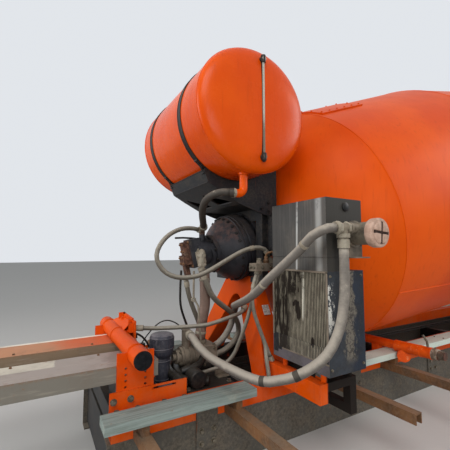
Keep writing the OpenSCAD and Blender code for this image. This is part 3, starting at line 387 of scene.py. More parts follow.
def beam_paint():
    """Left beam grey, painted darker on its sides as shade, with a pale patch of painted sunlight at the
    front of its top and painted shade further back; right beam faded orange with a painted highlight along
    its edge.
    """
    f = Finish("pale_beam_paint")
    x, y, z = f.parts(f.place)
    up = f.parts(f.facing)[2]
    cloud = f.noise(6, 7, 0.7)
    grit = f.noise(90, 4, 0.75)
    run = f.noise(4, 5, 0.6, f.stretched((1.2, 14, 14)))
    top = f.step(up, 0.3, 0.9)
    # Painted shade: the sides of the left beam darker than its top.
    left = f.mix((122, 117, 107), (162, 151, 143), top)
    # Painted sunlight: a pale patch at the front of the left beam's top.
    painted_sunlight = f.step(x + (cloud - 0.5) * 0.05, 3.285, 3.300) * f.step(y, 0.226, 0.214) * top
    left = f.mix(left, (202, 194, 178), painted_sunlight)
    # Painted shade: the left beam's top darker further back, under the body.
    left = f.mix(left, (96, 84, 76), f.step(x + (cloud - 0.5) * 0.4, 3.08, 2.96) * top * 0.5)
    right = f.blend((190, 136, 102), (204, 100, 58), x + (cloud - 0.5) * 0.3, 3.35, 3.1)
    # Painted highlight: a pale line along the right beam's edge.
    right = f.blend(right, (238, 230, 214), y, -0.334, -0.341)
    right = f.mix((138, 118, 96), right, top)
    colour = f.blend(right, left, y, -0.02, 0.02)
    colour = f.blend(colour, (112, 98, 86), cloud, 0.45, 0.7, 0.3)
    colour = f.blend(colour, (206, 196, 178), run, 0.55, 0.75, 0.2)
    rust = f.step(f.noise(22, 6, 0.7), 0.60, 0.68) * f.step(cloud, 0.4, 0.6)
    seam = f.step((z - 0.649).absolute(), 0.012, 0.0) * f.step(grit, 0.35, 0.6) * (1 - f.step(up, 0.3, 0.6))
    colour = f.mix(colour, (138, 92, 62), (rust * 0.5).highest(seam * 0.45))
    return f.surface(colour, grit * 0.15 + 0.62, grit * 0.6 + cloud,
        depth=0.0012, strength=0.6, soft_edge=0.004)


def board_finish():
    """Grey weathered boards, with painted light making them paler towards the rear, and scratches along them.
    """
    f = Finish("weathered_board")
    grain = f.noise(5, 8, 0.7, f.stretched((0.7, 18, 18)))
    scratch = f.noise(8, 2, 0.5, f.stretched((0.5, 60, 60), turn=(0, 0, 0.06)))
    colour = f.blend((142, 154, 148), (114, 123, 117), grain, 0.4, 0.68)
    for tone, value, low, high, share in (
            ((176, 176, 160), f.noise(5, 5, 0.65), 0.5, 0.72, 0.6),
            # Painted light: paler towards the rear, against the drum's shadow and its orange bounce.
            ((206, 218, 206), f.parts(f.place)[0], 1.5, 1.0, 0.85),
            ((96, 92, 84), scratch, 0.66, 0.72, 0.5),
            ((118, 82, 58), f.noise(20, 5, 0.7), 0.64, 0.7, 0.45)):
        colour = f.blend(colour, tone, value, low, high, share)
    return f.surface(colour, 0.72, grain + scratch * 0.4,
        depth=0.0015, strength=0.6, soft_edge=0.003)


def brushed_tank():
    """Dull drawn steel: fine upright lines, two bright bands of painted reflection on its front, painted
    shade on its outer side, drips.
    """
    f = Finish("brushed_tank_steel")
    x, y, z = f.parts(f.place)
    brush = f.noise(6, 3, 0.6, f.stretched((60, 60, 0.5)))
    lines = ((y + x) * 620).wave()
    cloud = f.noise(5, 5, 0.65)
    drip = f.noise(3, 4, 0.6, f.stretched((22, 22, 1.2)))
    colour = f.blend((86, 84, 81), (68, 66, 64), brush, 0.35, 0.65)
    colour = f.blend(colour, (68, 66, 64), lines, 0.2, 1.0, 0.3)
    # Painted reflection: two bright upright bands on the front face.
    front = f.step(x, COOLER_FRONT - 0.006, COOLER_FRONT - 0.002)
    narrow_reflection = f.step((y - 0.795 - (z - 1.4) * 0.03).absolute(), 0.011, 0.002)
    broad_reflection = f.step((y - 0.965).absolute(), 0.034, 0.006) * 0.55
    painted_reflection = narrow_reflection.highest(broad_reflection) * front * f.step(cloud, 0.3, 0.5)
    colour = f.mix(colour, (196, 196, 192), painted_reflection * 0.8)
    film = f.step(cloud, 0.42, 0.72) * 0.35 + f.step(drip, 0.58, 0.74) * 0.3
    colour = f.mix(colour, (120, 111, 98), film)
    # Painted shade: faces turned to the left side darker.
    side = f.step(f.parts(f.facing)[1], 0.5, 0.8)
    colour = f.mix(colour, (52, 49, 44), side * 0.85)
    return f.surface(colour, film * 0.3 + side * 0.2 + 0.42, brush * 0.4 + lines * 0.1,
        depth=0.0004, strength=0.4, soft_edge=0.006,
        Metallic=f.step(film.highest(side), 0.0, 0.8, 0.55, 0.1))


def dirty_fins():
    """Pale fins under dust, darker in patches towards the inner side and the top, with a painted highlight
    down them and painted shade deeper in behind their front edges.
    """
    f = Finish("dirty_fins")
    x, y, z = f.parts(f.place)
    clump = f.noise(16, 7, 0.72, f.stretched((1, 2.2, 0.8)))
    colour = f.blend((144, 136, 119), (113, 105, 91), clump, 0.4, 0.6)
    ragged = f.noise(9, 5, 0.7)
    # Painted highlight: a bright upright streak down the fins.
    streak = f.step((y - 0.832 - (z - 0.95) * 0.03).absolute(), 0.012, 0.004) * f.step(z, 0.87, 0.91)
    colour = f.mix(colour, (232, 226, 208), streak * f.step(ragged, 0.40, 0.5))
    # Dark patches towards the inner side and the top.
    columns = f.noise(2.2, 3, 0.6, f.stretched((0.1, 34, 3)))
    left = f.step(y + (ragged - 0.5) * 0.10, 0.735, 0.70) * f.step(columns, 0.60, 0.50)
    corner = f.step(y - (z - 1.0) * 0.5 + (ragged - 0.5) * 0.3, 0.76, 0.73) * f.step(z, 0.98, 1.04)
    dark_fin_patches = left.highest(corner * f.step(columns, 0.62, 0.52))
    for mid_y, mid_z, wide, tall in (
            (0.79, 0.93, 0.022, 0.055), (0.905, 0.775, 0.014, 0.026), (0.775, 0.97, 0.03, 0.02)):
        across = (y - mid_y + (ragged - 0.5) * 0.05) / wide
        upward = (z - mid_z + (clump - 0.5) * 0.08) / tall
        dark_fin_patches = dark_fin_patches.highest(f.step(across * across + upward * upward, 1.1, 0.8))
    colour = f.mix(colour, (38, 29, 23), dark_fin_patches * 0.95)
    # Painted shade: darker deeper in behind the fins' front edges.
    colour = f.blend(colour, (26, 24, 22), x, COOLER_FRONT - 0.0015, COOLER_FRONT - 0.010)
    caked = f.step(clump, 0.64, 0.70)
    colour = f.mix(colour, (150, 136, 112), caked * 0.5)
    return f.surface(colour, caked * 0.3 + 0.6, f.noise(120, 4, 0.7),
        depth=0.0003, strength=0.3)


def shroud_paint():
    """Blue-black sheet; pale paint has peeled in a strip behind the front edge of its outer side."""
    f = Finish("shroud_paint")
    x, _, z = f.parts(f.place)
    cloud = f.noise(8, 6, 0.65)
    fine = f.noise(70, 4, 0.7)
    colour = f.blend((52, 57, 64), (38, 41, 46), cloud, 0.38, 0.66)
    outer = f.step(f.parts(f.facing)[1], 0.6, 0.9)
    ragged = f.noise(20, 6, 0.7, f.stretched((1.4, 1.0, 0.6)))
    foot = f.step(z + (cloud - 0.5) * 0.05, 0.80, 0.76) * (1 - outer)
    colour = f.mix(colour, f.blend((94, 88, 92), (72, 68, 72), cloud, 0.38, 0.66), foot)
    back = f.step(x + (ragged - 0.5) * 0.10, 1.905, 1.885)
    colour = f.mix(colour, f.blend((30, 38, 50), (22, 27, 36), cloud, 0.4, 0.6), outer * back)
    strip = f.step((x - 1.917 + (ragged - 0.5) * 0.16).absolute(), 0.054, 0.036)
    colour = f.mix(colour, f.blend((108, 101, 90), (58, 52, 47), fine, 0.46, 0.6),
        strip * outer * f.step(z, 0.66, 0.72) * 0.9)
    peel = f.step(ragged + (x - 2.045) * 6, 0.5, 0.56) * f.step(z, 0.83, 0.87) * f.step(z, 1.12, 1.08)
    colour = f.mix(colour, (206, 204, 196), peel * outer * f.step(fine + ragged, 0.9, 1.0))
    film = f.step(fine + cloud, 0.9, 1.3) * (0.35 - outer * 0.25)
    colour = f.mix(colour, (112, 106, 96), film)
    colour = f.mix(colour, (104, 62, 40), f.edges() * f.step(fine, 0.45, 0.6) * 0.5)
    return f.surface(colour, film * 0.3 + 0.5, fine * 0.4 + strip * 0.8,
        depth=0.0009, strength=0.5, soft_edge=0.002)


def hose_finish(name, clean_and_shaded, dusty_and_lit, ribbed=0.0, amount=0.85):
    """Rubber hose: cloth mould marks along it; lighter on top from dust and painted light, darker beneath as
    painted shade.
    """
    f = Finish(name)
    along, ring, _ = f.parts(f.uv)
    up = f.parts(f.facing)[2]
    cloud = f.noise(26, 5, 0.65)
    # Dust and painted light on top; the underside keeps a darker tone as painted shade.
    top = f.step(up + cloud * 0.8, 0.1, 1.0)
    colour = f.mix(clean_and_shaded, dusty_and_lit, top * amount + 0.15 * (1 - amount))
    colour = f.blend(colour, (196, 186, 168), cloud, 0.62, 0.74, 0.4)
    weave = (along * 900).wave() * 0.5 + (ring * math.tau * 24 + along * 260).wave() * 0.5
    colour = f.blend(colour, clean_and_shaded, weave, 0.3, 1.4, 0.25)
    ribs = (along * 420).wave() * ribbed
    return f.surface(colour, top * 0.25 + 0.55, weave * 0.4 + f.noise(220, 3, 0.6) + ribs * 3,
        depth=0.0007, strength=0.5)


def cast_finish(name, base, second, dust_colour, dust, gloss, dark_below=0.0, dark_at=None):
    """Casting with dust in its hollows; darker below a height or round a point, where one is given."""
    f = Finish(name)
    up = f.parts(f.facing)[2]
    cloud = f.noise(7, 6, 0.65)
    colour = f.blend(base, second, cloud, 0.4, 0.64)
    film = f.step(cloud * 0.7 + f.noise(24, 5, 0.7) * 0.5 + up * 0.25, 0.55, 0.95) * dust
    colour = f.mix(colour, dust_colour, film)
    if dark_below:
        # Darker towards the bottom, below the given height.
        height = f.parts(f.place)[2] + (cloud - 0.5) * 0.12
        colour = f.blend(colour, (30, 28, 27), height, dark_below + 0.02, dark_below - 0.03, 0.92)
    if dark_at:
        away = f.node("ShaderNodeVectorMath", {"operation": "DISTANCE"}, {0: f.place, 1: dark_at}, 1)
        colour = f.blend(colour, (58, 52, 46), away, 0.16, 0.15)
    return f.surface(colour, film * 0.35 + gloss, f.noise(140, 3, 0.6) + cloud * 0.5,
        depth=0.0012, strength=0.5, soft_edge=0.003)


def gearbox_finish():
    """Black casting with red-brown dust on the near side of its dome."""
    f = Finish("gearbox_casting")
    x, _, z = f.parts(f.place)
    up = f.parts(f.facing)[2]
    cloud = f.noise(7, 6, 0.65)
    fine = f.noise(30, 5, 0.7)
    colour = f.blend((50, 50, 54), (33, 33, 37), cloud, 0.4, 0.64)
    dome = f.step(x + (cloud - 0.5) * 0.1, 2.06, 2.14) * f.step(x, 2.29, 2.24) * f.step(z, 1.30, 1.42)
    colour = f.mix(colour, (98, 66, 60), dome * f.step(fine, 0.38, 0.66) * 0.7)
    film = f.step(cloud * 0.7 + fine * 0.5 + up * 0.3, 0.62, 1.0) * 0.45
    colour = f.mix(colour, (108, 92, 82), film)
    return f.surface(colour, film * 0.3 + 0.5, f.noise(140, 3, 0.6) + cloud * 0.5,
        depth=0.0012, strength=0.5, soft_edge=0.003)


def motor_finish():
    """Dark motor; its end plate and the union above are rusty, the elbow of its hose is pale zinc."""
    f = Finish("motor_casting")
    x, y, z = f.parts(f.place)
    s = (FLANGE.x - x) * math.cos(TILT) + (z - FLANGE.z) * math.sin(TILT)
    cloud = f.noise(10, 6, 0.68)
    grit = f.noise(120, 3, 0.65)
    dark = f.blend((58, 58, 62), (38, 38, 42), cloud, 0.36, 0.62)
    dark = f.blend(dark, (104, 94, 84), cloud + grit * 0.3, 0.74, 0.92, 0.5)
    rust = f.blend((104, 74, 60), (62, 42, 34), f.noise(30, 6, 0.7), 0.4, 0.6)
    rust = f.blend(rust, (148, 124, 104), cloud, 0.56, 0.7, 0.6)
    pale = f.blend((176, 166, 148), (122, 110, 94), cloud, 0.4, 0.62)
    plate_end = f.step(s, MOTOR_END + 0.001, MOTOR_END - 0.001)
    outside = f.step(s, -0.451, -0.4525).highest(f.step(z, 1.235, 1.225))
    elbow = f.step(y, 0.083, 0.086) * f.step(x, 2.325, 2.333) * f.step(z, 1.285, 1.28) * outside
    colour = f.mix(f.mix(dark, rust, plate_end), pale, elbow)
    colour = f.blend(colour, rust, z, 1.392, 1.400)
    return f.surface(colour, plate_end * 0.25 + grit * 0.1 + 0.48, grit + cloud,
        depth=0.001, strength=0.6, soft_edge=0.003)


def wash_finish():
    """Orange pipe with a pale steel collar and a rusty nipple at its outer end."""
    f = Finish("wash_pipe_paint")
    y = f.parts(f.place)[1]
    cloud = f.noise(12, 5, 0.65)
    scuff = f.noise(26, 5, 0.7)
    colour = f.blend((226, 86, 8), (206, 70, 4), cloud, 0.4, 0.6)
    colour = f.mix(colour, (232, 158, 112), f.step(scuff, 0.60, 0.66) * f.step(y, 0.58, 0.66))
    for pale, dark, start in (
            ((168, 156, 140), (112, 98, 84), 0.872), ((104, 66, 48), (62, 42, 34), 0.913)):
        colour = f.blend(colour, f.blend(pale, dark, scuff, 0.4, 0.6), y, start, start + 0.003)
    return f.surface(colour, cloud * 0.2 + 0.4, scuff,
        depth=0.0008, strength=0.5, soft_edge=0.002)


def sight_finish():
    """Cloudy level tube: a painted highlight on the side that catches light and painted shade on the other
    side, brown in its lower part, with a dark back edge.
    """
    f = Finish("sight_tube_plastic")
    _, y, z = f.parts(f.place)
    across, outward, _ = f.parts(f.facing)
    cloud = f.noise(14, 4, 0.6, f.stretched((1, 1, 0.4)))
    pale = f.blend((170, 168, 156), (112, 100, 84), z + cloud * 0.2, 2.22, 2.12)
    # Painted highlight on the side facing the light, painted shade on the other side.
    lit = f.step(outward * 0.5 - across * 0.86, -0.45, -0.15)
    return f.surface(f.mix((34, 31, 29), pale, lit * f.step(y, 0.665, 0.675)), 0.35, cloud,
        depth=0.0004, strength=0.3)


def filter_finish():
    """Grimy filter bowl and tee; the star cap beyond it is faded red plastic."""
    f = Finish("filter_grime")
    y = f.parts(f.place)[1]
    cloud = f.noise(14, 6, 0.68)
    grit = f.noise(110, 3, 0.65)
    body = f.blend((128, 118, 102), (84, 76, 66), cloud, 0.4, 0.64)
    cap = f.blend((168, 122, 102), (132, 100, 84), cloud, 0.38, 0.62)
    colour = f.blend(body, cap, y, 1.1455, 1.147)
    return f.surface(colour, grit * 0.2 + 0.5, grit + cloud,
        depth=0.001, strength=0.55, soft_edge=0.003)


def plain_finish(name, colour, rough, metal=0.0, scale=40.0, spread=14):
    """One colour, darker in clouds of a scale."""
    f = Finish(name)
    cloud = f.noise(scale, 4, 0.6)
    darker = tuple(max(0, level - spread) for level in colour)
    return f.surface(f.blend(colour, darker, cloud, 0.35, 0.65), cloud * 0.15 + rough, cloud,
        depth=0.0006, strength=0.5, soft_edge=0.0015,
        Metallic=metal)


ZINC = ((150, 142, 126), (112, 102, 88), (172, 160, 140), 0.6, 0.45)
FINISHES = {
    "orange": orange_paint("orange_frame_paint", dust=0.22, gloss=0.42),
    "orange_drum": orange_paint("orange_drum_paint",
        dust=0.04, chips=0.10, gloss=0.38, low_dirt=0.0, shine=0.10, splashed=True),
    "orange_tank": orange_paint("orange_tank_paint",
        dust=0.03, chips=0.06, gloss=0.24, low_dirt=0.0, shine=0.16, waves=9.0),
    "orange_rails": orange_paint("orange_rail_paint", dark_rail_patches=True),
    "orange_rear": orange_paint("orange_rear_paint", dust=0.30, chips=0.7, splashed=True),
    "dark": dirty_paint("dark_grey_paint", (33, 34, 37), (25, 26, 29), dust=0.15, gloss=0.5, rust=0.3),
    "shroud": shroud_paint(),
    "canister": cast_finish("canister_plastic", (60, 61, 70), (44, 45, 54), (140, 134, 136),
        dust=0.8, gloss=0.5),
    "black": dirty_paint("black_paint", (24, 24, 25), (17, 17, 18), dust=0.10, gloss=0.42, rust=0.12),
    "tank_steel": brushed_tank(),
    "dirty_fins": dirty_fins(),
    "chassis": dirty_paint("chassis_paint", (84, 80, 73), (62, 58, 52), dust=0.38, gloss=0.65, rust=0.6),
    "beige": beam_paint(),
    "board": board_finish(),
    "rusty": dirty_paint("rusty_steel", (122, 86, 56), (82, 56, 36), dust=0.28, gloss=0.75, rust=0.6),
    "cast": cast_finish("black_casting", (46, 45, 48), (32, 32, 36), (84, 68, 60),
        dust=0.4, gloss=0.5),
    "pump": cast_finish("pump_casting", (122, 110, 96), (84, 75, 65), (156, 142, 124),
        dust=0.6, gloss=0.6, dark_below=0.50),
    "gearbox": gearbox_finish(),
    "motor": motor_finish(),
    "manifold": cast_finish("manifold_casting", (122, 110, 96), (84, 74, 64), (168, 156, 136),
        dust=0.7, gloss=0.55),
    "sight": sight_finish(),
    "wash": wash_finish(),
    "filter": filter_finish(),
    "fitting": cast_finish("zinc_fitting", *ZINC),
    "ferrule": cast_finish("hose_ferrule", *ZINC, dark_at=(2.43, 0.55, 1.63)),
    "hose": hose_finish("dusty_hose", (92, 86, 76), (150, 143, 130)),
    "hose_grey": hose_finish("grey_hose", (100, 94, 88), (164, 155, 142), ribbed=0.3),
    "hose_sleeve": hose_finish("sleeved_pipe", (104, 84, 74), (140, 118, 106)),
    "hose_dark": hose_finish("dark_hose", (56, 51, 46), (98, 91, 82), amount=0.7),
    "hose_black": hose_finish("black_hose", (48, 44, 40), (84, 78, 70), amount=0.6),
    "cap": plain_finish("faded_cap", (190, 160, 142), 0.6, scale=30, spread=26),
    "end_cap": plain_finish("end_cap_rubber", (24, 25, 28), 0.85),
    "groove": plain_finish("cap_groove", (58, 42, 35), 0.8),
    "steel_worn": plain_finish("worn_steel", (150, 146, 138), 0.34, metal=0.8, scale=18),
    "blade": plain_finish("blade_steel", (120, 116, 110), 0.5, metal=0.5, scale=14),
    "fan": plain_finish("fan_plastic_and_gap_shade", (40, 40, 42), 0.5),
    "label": plain_finish("blank_label", (206, 196, 188), 0.45, scale=90, spread=60),
    "bolt": plain_finish("zinc_bolt", (126, 118, 104), 0.45, metal=0.5, scale=60, spread=40),
    "dark_bolt": plain_finish("dark_bolt", (52, 49, 48), 0.5, metal=0.3, scale=60, spread=20),
}
# The nodes of the part that wear each finish.
PAINTED = {
    "beige": ["neck_beams"],
    "blade": ["drum_blades"],
    "black": ["tank_straps"],
    "board": ["side_boards"],
    "canister": ["filter_canister"],
    "chassis": ["carrier_rails"],
    "dark": ["crossmembers", "tank_cradle", "chute_console"],
    "dirty_fins": ["cooler_core"],
    "fan": ["cooler_fan"],
    "ferrule": ["hose_fittings"],
    "filter": ["return_filter"],
    "gearbox": ["gearbox"],
    "hose": ["loop_hose", "motor_hose", "tank_hose", "vent_hose", "drain_hose_a", "drain_hose_b"],
    "hose_dark": ["water_hose"],
    "hose_grey": ["return_hose", "suction_hose"],
    "hose_sleeve": ["riser_hose"],
    "manifold": ["valve_manifold"],
    "motor": ["hydraulic_motor"],
    "orange": ["cross_tube", "tube_brackets", "front_pedestal", "rear_pedestal"],
    "orange_drum": ["drum_shell", "drum_hatch"],
    "orange_rails": ["subframe_rails", "cooler_outrigger"],
    "orange_rear": ["charge_hopper", "rear_posts", "discharge_funnel", "chute_swivel", "main_chute",
        "extension_chute", "access_ladder"],
    "orange_tank": ["water_tank", "tank_outlet"],
    "pump": ["hydraulic_pump"],
    "rusty": ["board_brackets"],
    "shroud": ["cooler_shroud"],
    "sight": ["sight_tube"],
    "steel_worn": ["drum_ring", "left_roller", "right_roller"],
    "tank_steel": ["oil_tank"],
    "wash": ["wash_pipe"],
}


def paint(obj, finish):
    """One finish on the whole object."""
    if not obj.material_slots:
        obj.data.materials.append(FINISHES[finish])
    for slot in obj.material_slots:
        slot.material = FINISHES[finish]


for finish_name, node_names in PAINTED.items():
    for node_name in node_names:
        paint(hose_pieces.get(node_name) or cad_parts[node_name], finish_name)


# Mesh tools
@contextmanager
def piece(name, finish, slot, body="frame", bevel=0.0, smooth=True, instead_of=None):
    """A mesh to be filled in, which then becomes a finished object on its body."""
    bm = bmesh.new()
    yield bm
    bmesh.ops.recalc_face_normals(bm, faces=bm.faces)
    mesh = bpy.data.meshes.new(name)
    bm.to_mesh(mesh)
    bm.free()
    obj = new_object(name, mesh)
    if smooth:
        mesh.shade_smooth()
        mesh.set_sharp_from_angle(angle=math.radians(38))
    if bevel:
        edge = obj.modifiers.new("edges", "BEVEL")
        edge.width = bevel
        edge.segments = 2
        edge.angle_limit = math.radians(40)
    paint(obj, finish)
    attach(obj, body)
    if instead_of:
        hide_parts(instead_of)


def block(bm, low, high, place=None):
    """A box between two corners, moved by a matrix if one is given."""
    low, high = Vector(low), Vector(high)
    for v in bmesh.ops.create_cube(bm, size=1.0)["verts"]:
        v.co = Vector(low[i] + (v.co[i] + 0.5) * (high[i] - low[i]) for i in range(3))
        if place:
            v.co = place @ v.co


def plate(bm, corners, thick):
    """A flat plate on the given corners."""
    a, b, c = (Vector(p) for p in corners[:3])
    way = (b - a).cross(c - a).normalized() * thick
    low, high = ([bm.verts.new(Vector(p) + shift) for p in corners] for shift in (Vector(), way))
    bm.faces.new(low)
    bm.faces.new(high)
    for i in range(len(low)):
        j = (i + 1) % len(low)
        bm.faces.new((low[i], low[j], high[j], high[i]))


def basis(origin, up, side=None):
    """Matrix whose local Z is up and local X lies near side."""
    z = Vector(up).normalized()
    x = Vector(side) if side is not None else (UP if abs(z.z) < 0.8 else FRONT)
    x = (x - z * x.dot(z)).normalized()
    m = Matrix((x, z.cross(x), z)).transposed().to_4x4()
    m.translation = Vector(origin)
    return m


def turned(bm, origin, way, profile, sides=32, first=0.0, last=360.0):
    """A closed outline of (radius, height) points turned about an axis."""
    place = basis(origin, way)
    whole = last - first >= 359.9
    count = sides if whole else sides + 1
    rings = []
    for k in range(count):
        a = math.radians(first + (last - first) * k / sides)
        rings.append([bm.verts.new(place @ Vector((r * math.cos(a), r * math.sin(a), h)))
            for r, h in profile])
    n = len(profile)
    for k in range(sides):
        a, b = rings[k], rings[(k + 1) % count]
        for i in range(n):
            j = (i + 1) % n
            if profile[i][0] > 1e-6 or profile[j][0] > 1e-6:
                bm.faces.new([a[i], b[i], b[j], a[j]])
    if not whole:
        bm.faces.new(rings[0])
        bm.faces.new(list(reversed(rings[-1])))
    bmesh.ops.remove_doubles(bm, verts=bm.verts, dist=1e-6)


def disc(bm, centre, way, radius, height, sides=24, start=0.0):
    """A solid cylinder that starts some way along its axis."""
    end = start + height
    turned(bm, centre, way, [(0, start), (radius, start), (radius, end), (0, end)], sides)


def sleeve(bm, centre, way, inner, outer, height, sides=24, start=0.0):
    """A hollow cylinder that starts some way along its axis."""
    end = start + height
    turned(bm, centre, way, [(inner, start), (outer, start), (outer, end), (inner, end)], sides)


def rod(bm, points, radius, sides=8):
    """A pipe with sharp bends."""
    tube(bm, [Vector(p) for p in points], radius, sides)


def pipe(bm, points, count, radius, sides=8):
    """A pipe with smooth bends."""
    tube(bm, smooth_route(points, count), radius, sides)


def collar(bm, route, at, radius, width, lip=0.0):
    """A band round a hose, at a share of its length."""
    i = at * (len(route) - 1)
    k = min(int(i), len(route) - 2)
    centre = route[k].lerp(route[k + 1], i - k)
    way = (route[k + 1] - route[k]).normalized()
    inside, outside = radius - 0.004, radius + lip
    turned(bm, centre - way * width / 2, way, [(inside, 0), (radius, 0), (outside, width * 0.2),
        (outside, width * 0.8), (radius, width), (inside, width)], 20)


# Node trees for what repeats
def tree_with(name, sizes):
    """A node tree with named inputs, and helpers that add its nodes and end it."""
    tree = bpy.data.node_groups.new(name, "GeometryNodeTree")
    tree.interface.new_socket("Points", in_out="INPUT", socket_type="NodeSocketGeometry")
    for label, value in sizes.items():
        socket = tree.interface.new_socket(label, in_out="INPUT", socket_type="NodeSocketFloat")
        socket.default_value = value
    tree.interface.new_socket("Finish", in_out="INPUT", socket_type="NodeSocketMaterial")
    tree.interface.new_socket("Pieces", in_out="OUTPUT", socket_type="NodeSocketGeometry")
    start, end = tree.nodes.new("NodeGroupInput"), tree.nodes.new("NodeGroupOutput")

    def add(kind, settings=None, inputs=None):
        node = tree.nodes.new(kind)
        for key, value in (settings or {}).items():
            setattr(node, key, value)
        for key, value in (inputs or {}).items():
            if hasattr(value, "is_linked"):
                tree.links.new(value, node.inputs[key])
            else:
                node.inputs[key].default_value = value
        return node

    def finish(geometry):
        real = add("GeometryNodeRealizeInstances", None, {0: geometry})
        given = add("GeometryNodeSetMaterial", None,
            {"Geometry": real.outputs[0], "Material": start.outputs["Finish"]})
        tree.links.new(given.outputs[0], end.inputs[0])
        return tree

    return tree, start.outputs, add, finish


def bolt_tree():
    """A hexagon head on a washer at each point, along its aim and sized by its width."""
    tree, given, add, finish = tree_with("bolt_heads", {"Head Height": 0.62, "Washer": 0.16})
    named = {word: add("GeometryNodeInputNamedAttribute", {"data_type": kind}, {"Name": word})
        for word, kind in (("aim", "FLOAT_VECTOR"), ("width", "FLOAT"))}
    head, washer = (
        add("GeometryNodeMeshCylinder", None, {"Vertices": sides, "Radius": radius, "Depth": depth})
        for sides, radius, depth in ((6, 0.55, given["Head Height"]), (14, 0.72, given["Washer"])))
    half = add("ShaderNodeMath", {"operation": "MULTIPLY"}, {0: given["Head Height"], 1: 0.5})
    lift = add("ShaderNodeCombineXYZ", None, {2: half.outputs[0]})
    raised = add("GeometryNodeTransform", None,
        {"Geometry": head.outputs[0], "Translation": lift.outputs[0]})
    joined = add("GeometryNodeJoinGeometry", None, {0: raised.outputs[0]})
    tree.links.new(washer.outputs[0], joined.inputs[0])
    turn = add("FunctionNodeAlignRotationToVector", {"axis": "Z"}, {"Vector": named["aim"].outputs[0]})
    chance = add("FunctionNodeRandomValue", {"data_type": "FLOAT"}, {2: 0.0, 3: 1.0, "Seed": 5})
    twist = add("FunctionNodeAxisAngleToRotation", None, {"Axis": UP, "Angle": chance.outputs[1]})
    own = add("FunctionNodeRotateRotation", {"rotation_space": "LOCAL"},
        {0: turn.outputs[0], 1: twist.outputs[0]})
    scale = add("ShaderNodeCombineXYZ", None, {k: named["width"].outputs[0] for k in range(3)})
    spread = add("GeometryNodeInstanceOnPoints", None, {"Points": given["Points"],
        "Instance": joined.outputs[0], "Rotation": own.outputs[0], "Scale": scale.outputs[0]})
    return finish(spread.outputs[0])


def bead_tree():
    """A rippled bead of weld, or a plain round bar, along each line."""
    tree, given, add, finish = tree_with("beads", {"Radius": 0.004, "Step": 0.006, "Ripple": 0.25})
    line = add("GeometryNodeMeshToCurve", None, {0: given["Points"]})
    even = add("GeometryNodeResampleCurve", {"mode": "LENGTH"},
        {"Curve": line.outputs[0], "Length": given["Step"]})
    index = add("GeometryNodeInputIndex")
    wave = add("ShaderNodeMath", {"operation": "MULTIPLY"}, {0: index.outputs[0], 1: 2.1})
    sine = add("ShaderNodeMath", {"operation": "SINE"}, {0: wave.outputs[0]})
    ripple = add("ShaderNodeMath", {"operation": "MULTIPLY_ADD"},
        {0: sine.outputs[0], 1: given["Ripple"], 2: 1.0})
    size = add("GeometryNodeSetCurveRadius", None, {"Curve": even.outputs[0], "Radius": ripple.outputs[0]})
    ring = add("GeometryNodeCurvePrimitiveCircle", {"mode": "RADIUS"},
        {"Resolution": 7, "Radius": given["Radius"]})
    solid = add("GeometryNodeCurveToMesh", None,
        {0: size.outputs[0], 1: ring.outputs[0], "Fill Caps": True})
    if "Scale" in solid.inputs:
        tree.links.new(add("GeometryNodeInputRadius").outputs[0], solid.inputs["Scale"])
    smooth = add("GeometryNodeSetShadeSmooth", None, {0: solid.outputs[0]})
    return finish(smooth.outputs[0])


BOLTS, BEADS = bolt_tree(), bead_tree()


def grown(name, mesh, tree, sizes, finish, body):
    """What the tree makes of the mesh, as a plain piece."""
    seed = new_object(name + "_seed", mesh)
    growth = seed.modifiers.new("growth", "NODES")
    growth.node_group = tree
    values = {**sizes, "Finish": FINISHES[finish]}
    for item in tree.interface.items_tree:
        if item.in_out == "INPUT" and item.name in values:
            growth[item.identifier] = values[item.name]
    graph = bpy.context.evaluated_depsgraph_get()
    made = bpy.data.meshes.new_from_object(seed.evaluated_get(graph))
    bpy.data.objects.remove(seed)
    obj = new_object(name, made)
    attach(obj, body)


def bolts(name, places, finish="bolt", body="frame"):
    """Places are (point, aim, width)."""
    mesh = bpy.data.meshes.new(name + "_points")
    mesh.from_pydata([tuple(p) for p, _, _ in places], [], [])
    mesh.attributes.new("aim", "FLOAT_VECTOR", "POINT")
    mesh.attributes.new("width", "FLOAT", "POINT")
    for i, (_, aim, width) in enumerate(places):
        mesh.attributes["aim"].data[i].vector = Vector(aim).normalized()
        mesh.attributes["width"].data[i].value = width
    grown(name, mesh, BOLTS, {}, finish, body)


def beads(name, lines, radius, finish, body="frame", ripple=0.25, step=0.007):
    """Beads of weld or thin bars along lines of points."""
    points, edges = [], []
    for line in lines:
        edges += [(len(points) + k, len(points) + k + 1) for k in range(len(line) - 1)]
        points += [tuple(p) for p in line]
    mesh = bpy.data.meshes.new(name + "_lines")
    mesh.from_pydata(points, edges, [])
    grown(name, mesh, BEADS, {"Radius": radius, "Step": step, "Ripple": ripple}, finish, body)


def ring_line(centre, axis, radius, count=64):
    """A closed circle of points."""
    place = basis(centre, axis)
    return [place @ Vector((radius * math.cos(a), radius * math.sin(a), 0))
        for a in (math.tau * k / count for k in range(count + 1))]


def both(places):
    """The same bolt places on the right side too."""
    flip = Vector((1, -1, 1))
    return places + [(Vector(p) * flip, Vector(a) * flip, w) for p, a, w in places]


# Front beams, cross tube and brackets
TUBE_X, TUBE_Z = 2.9, 0.704


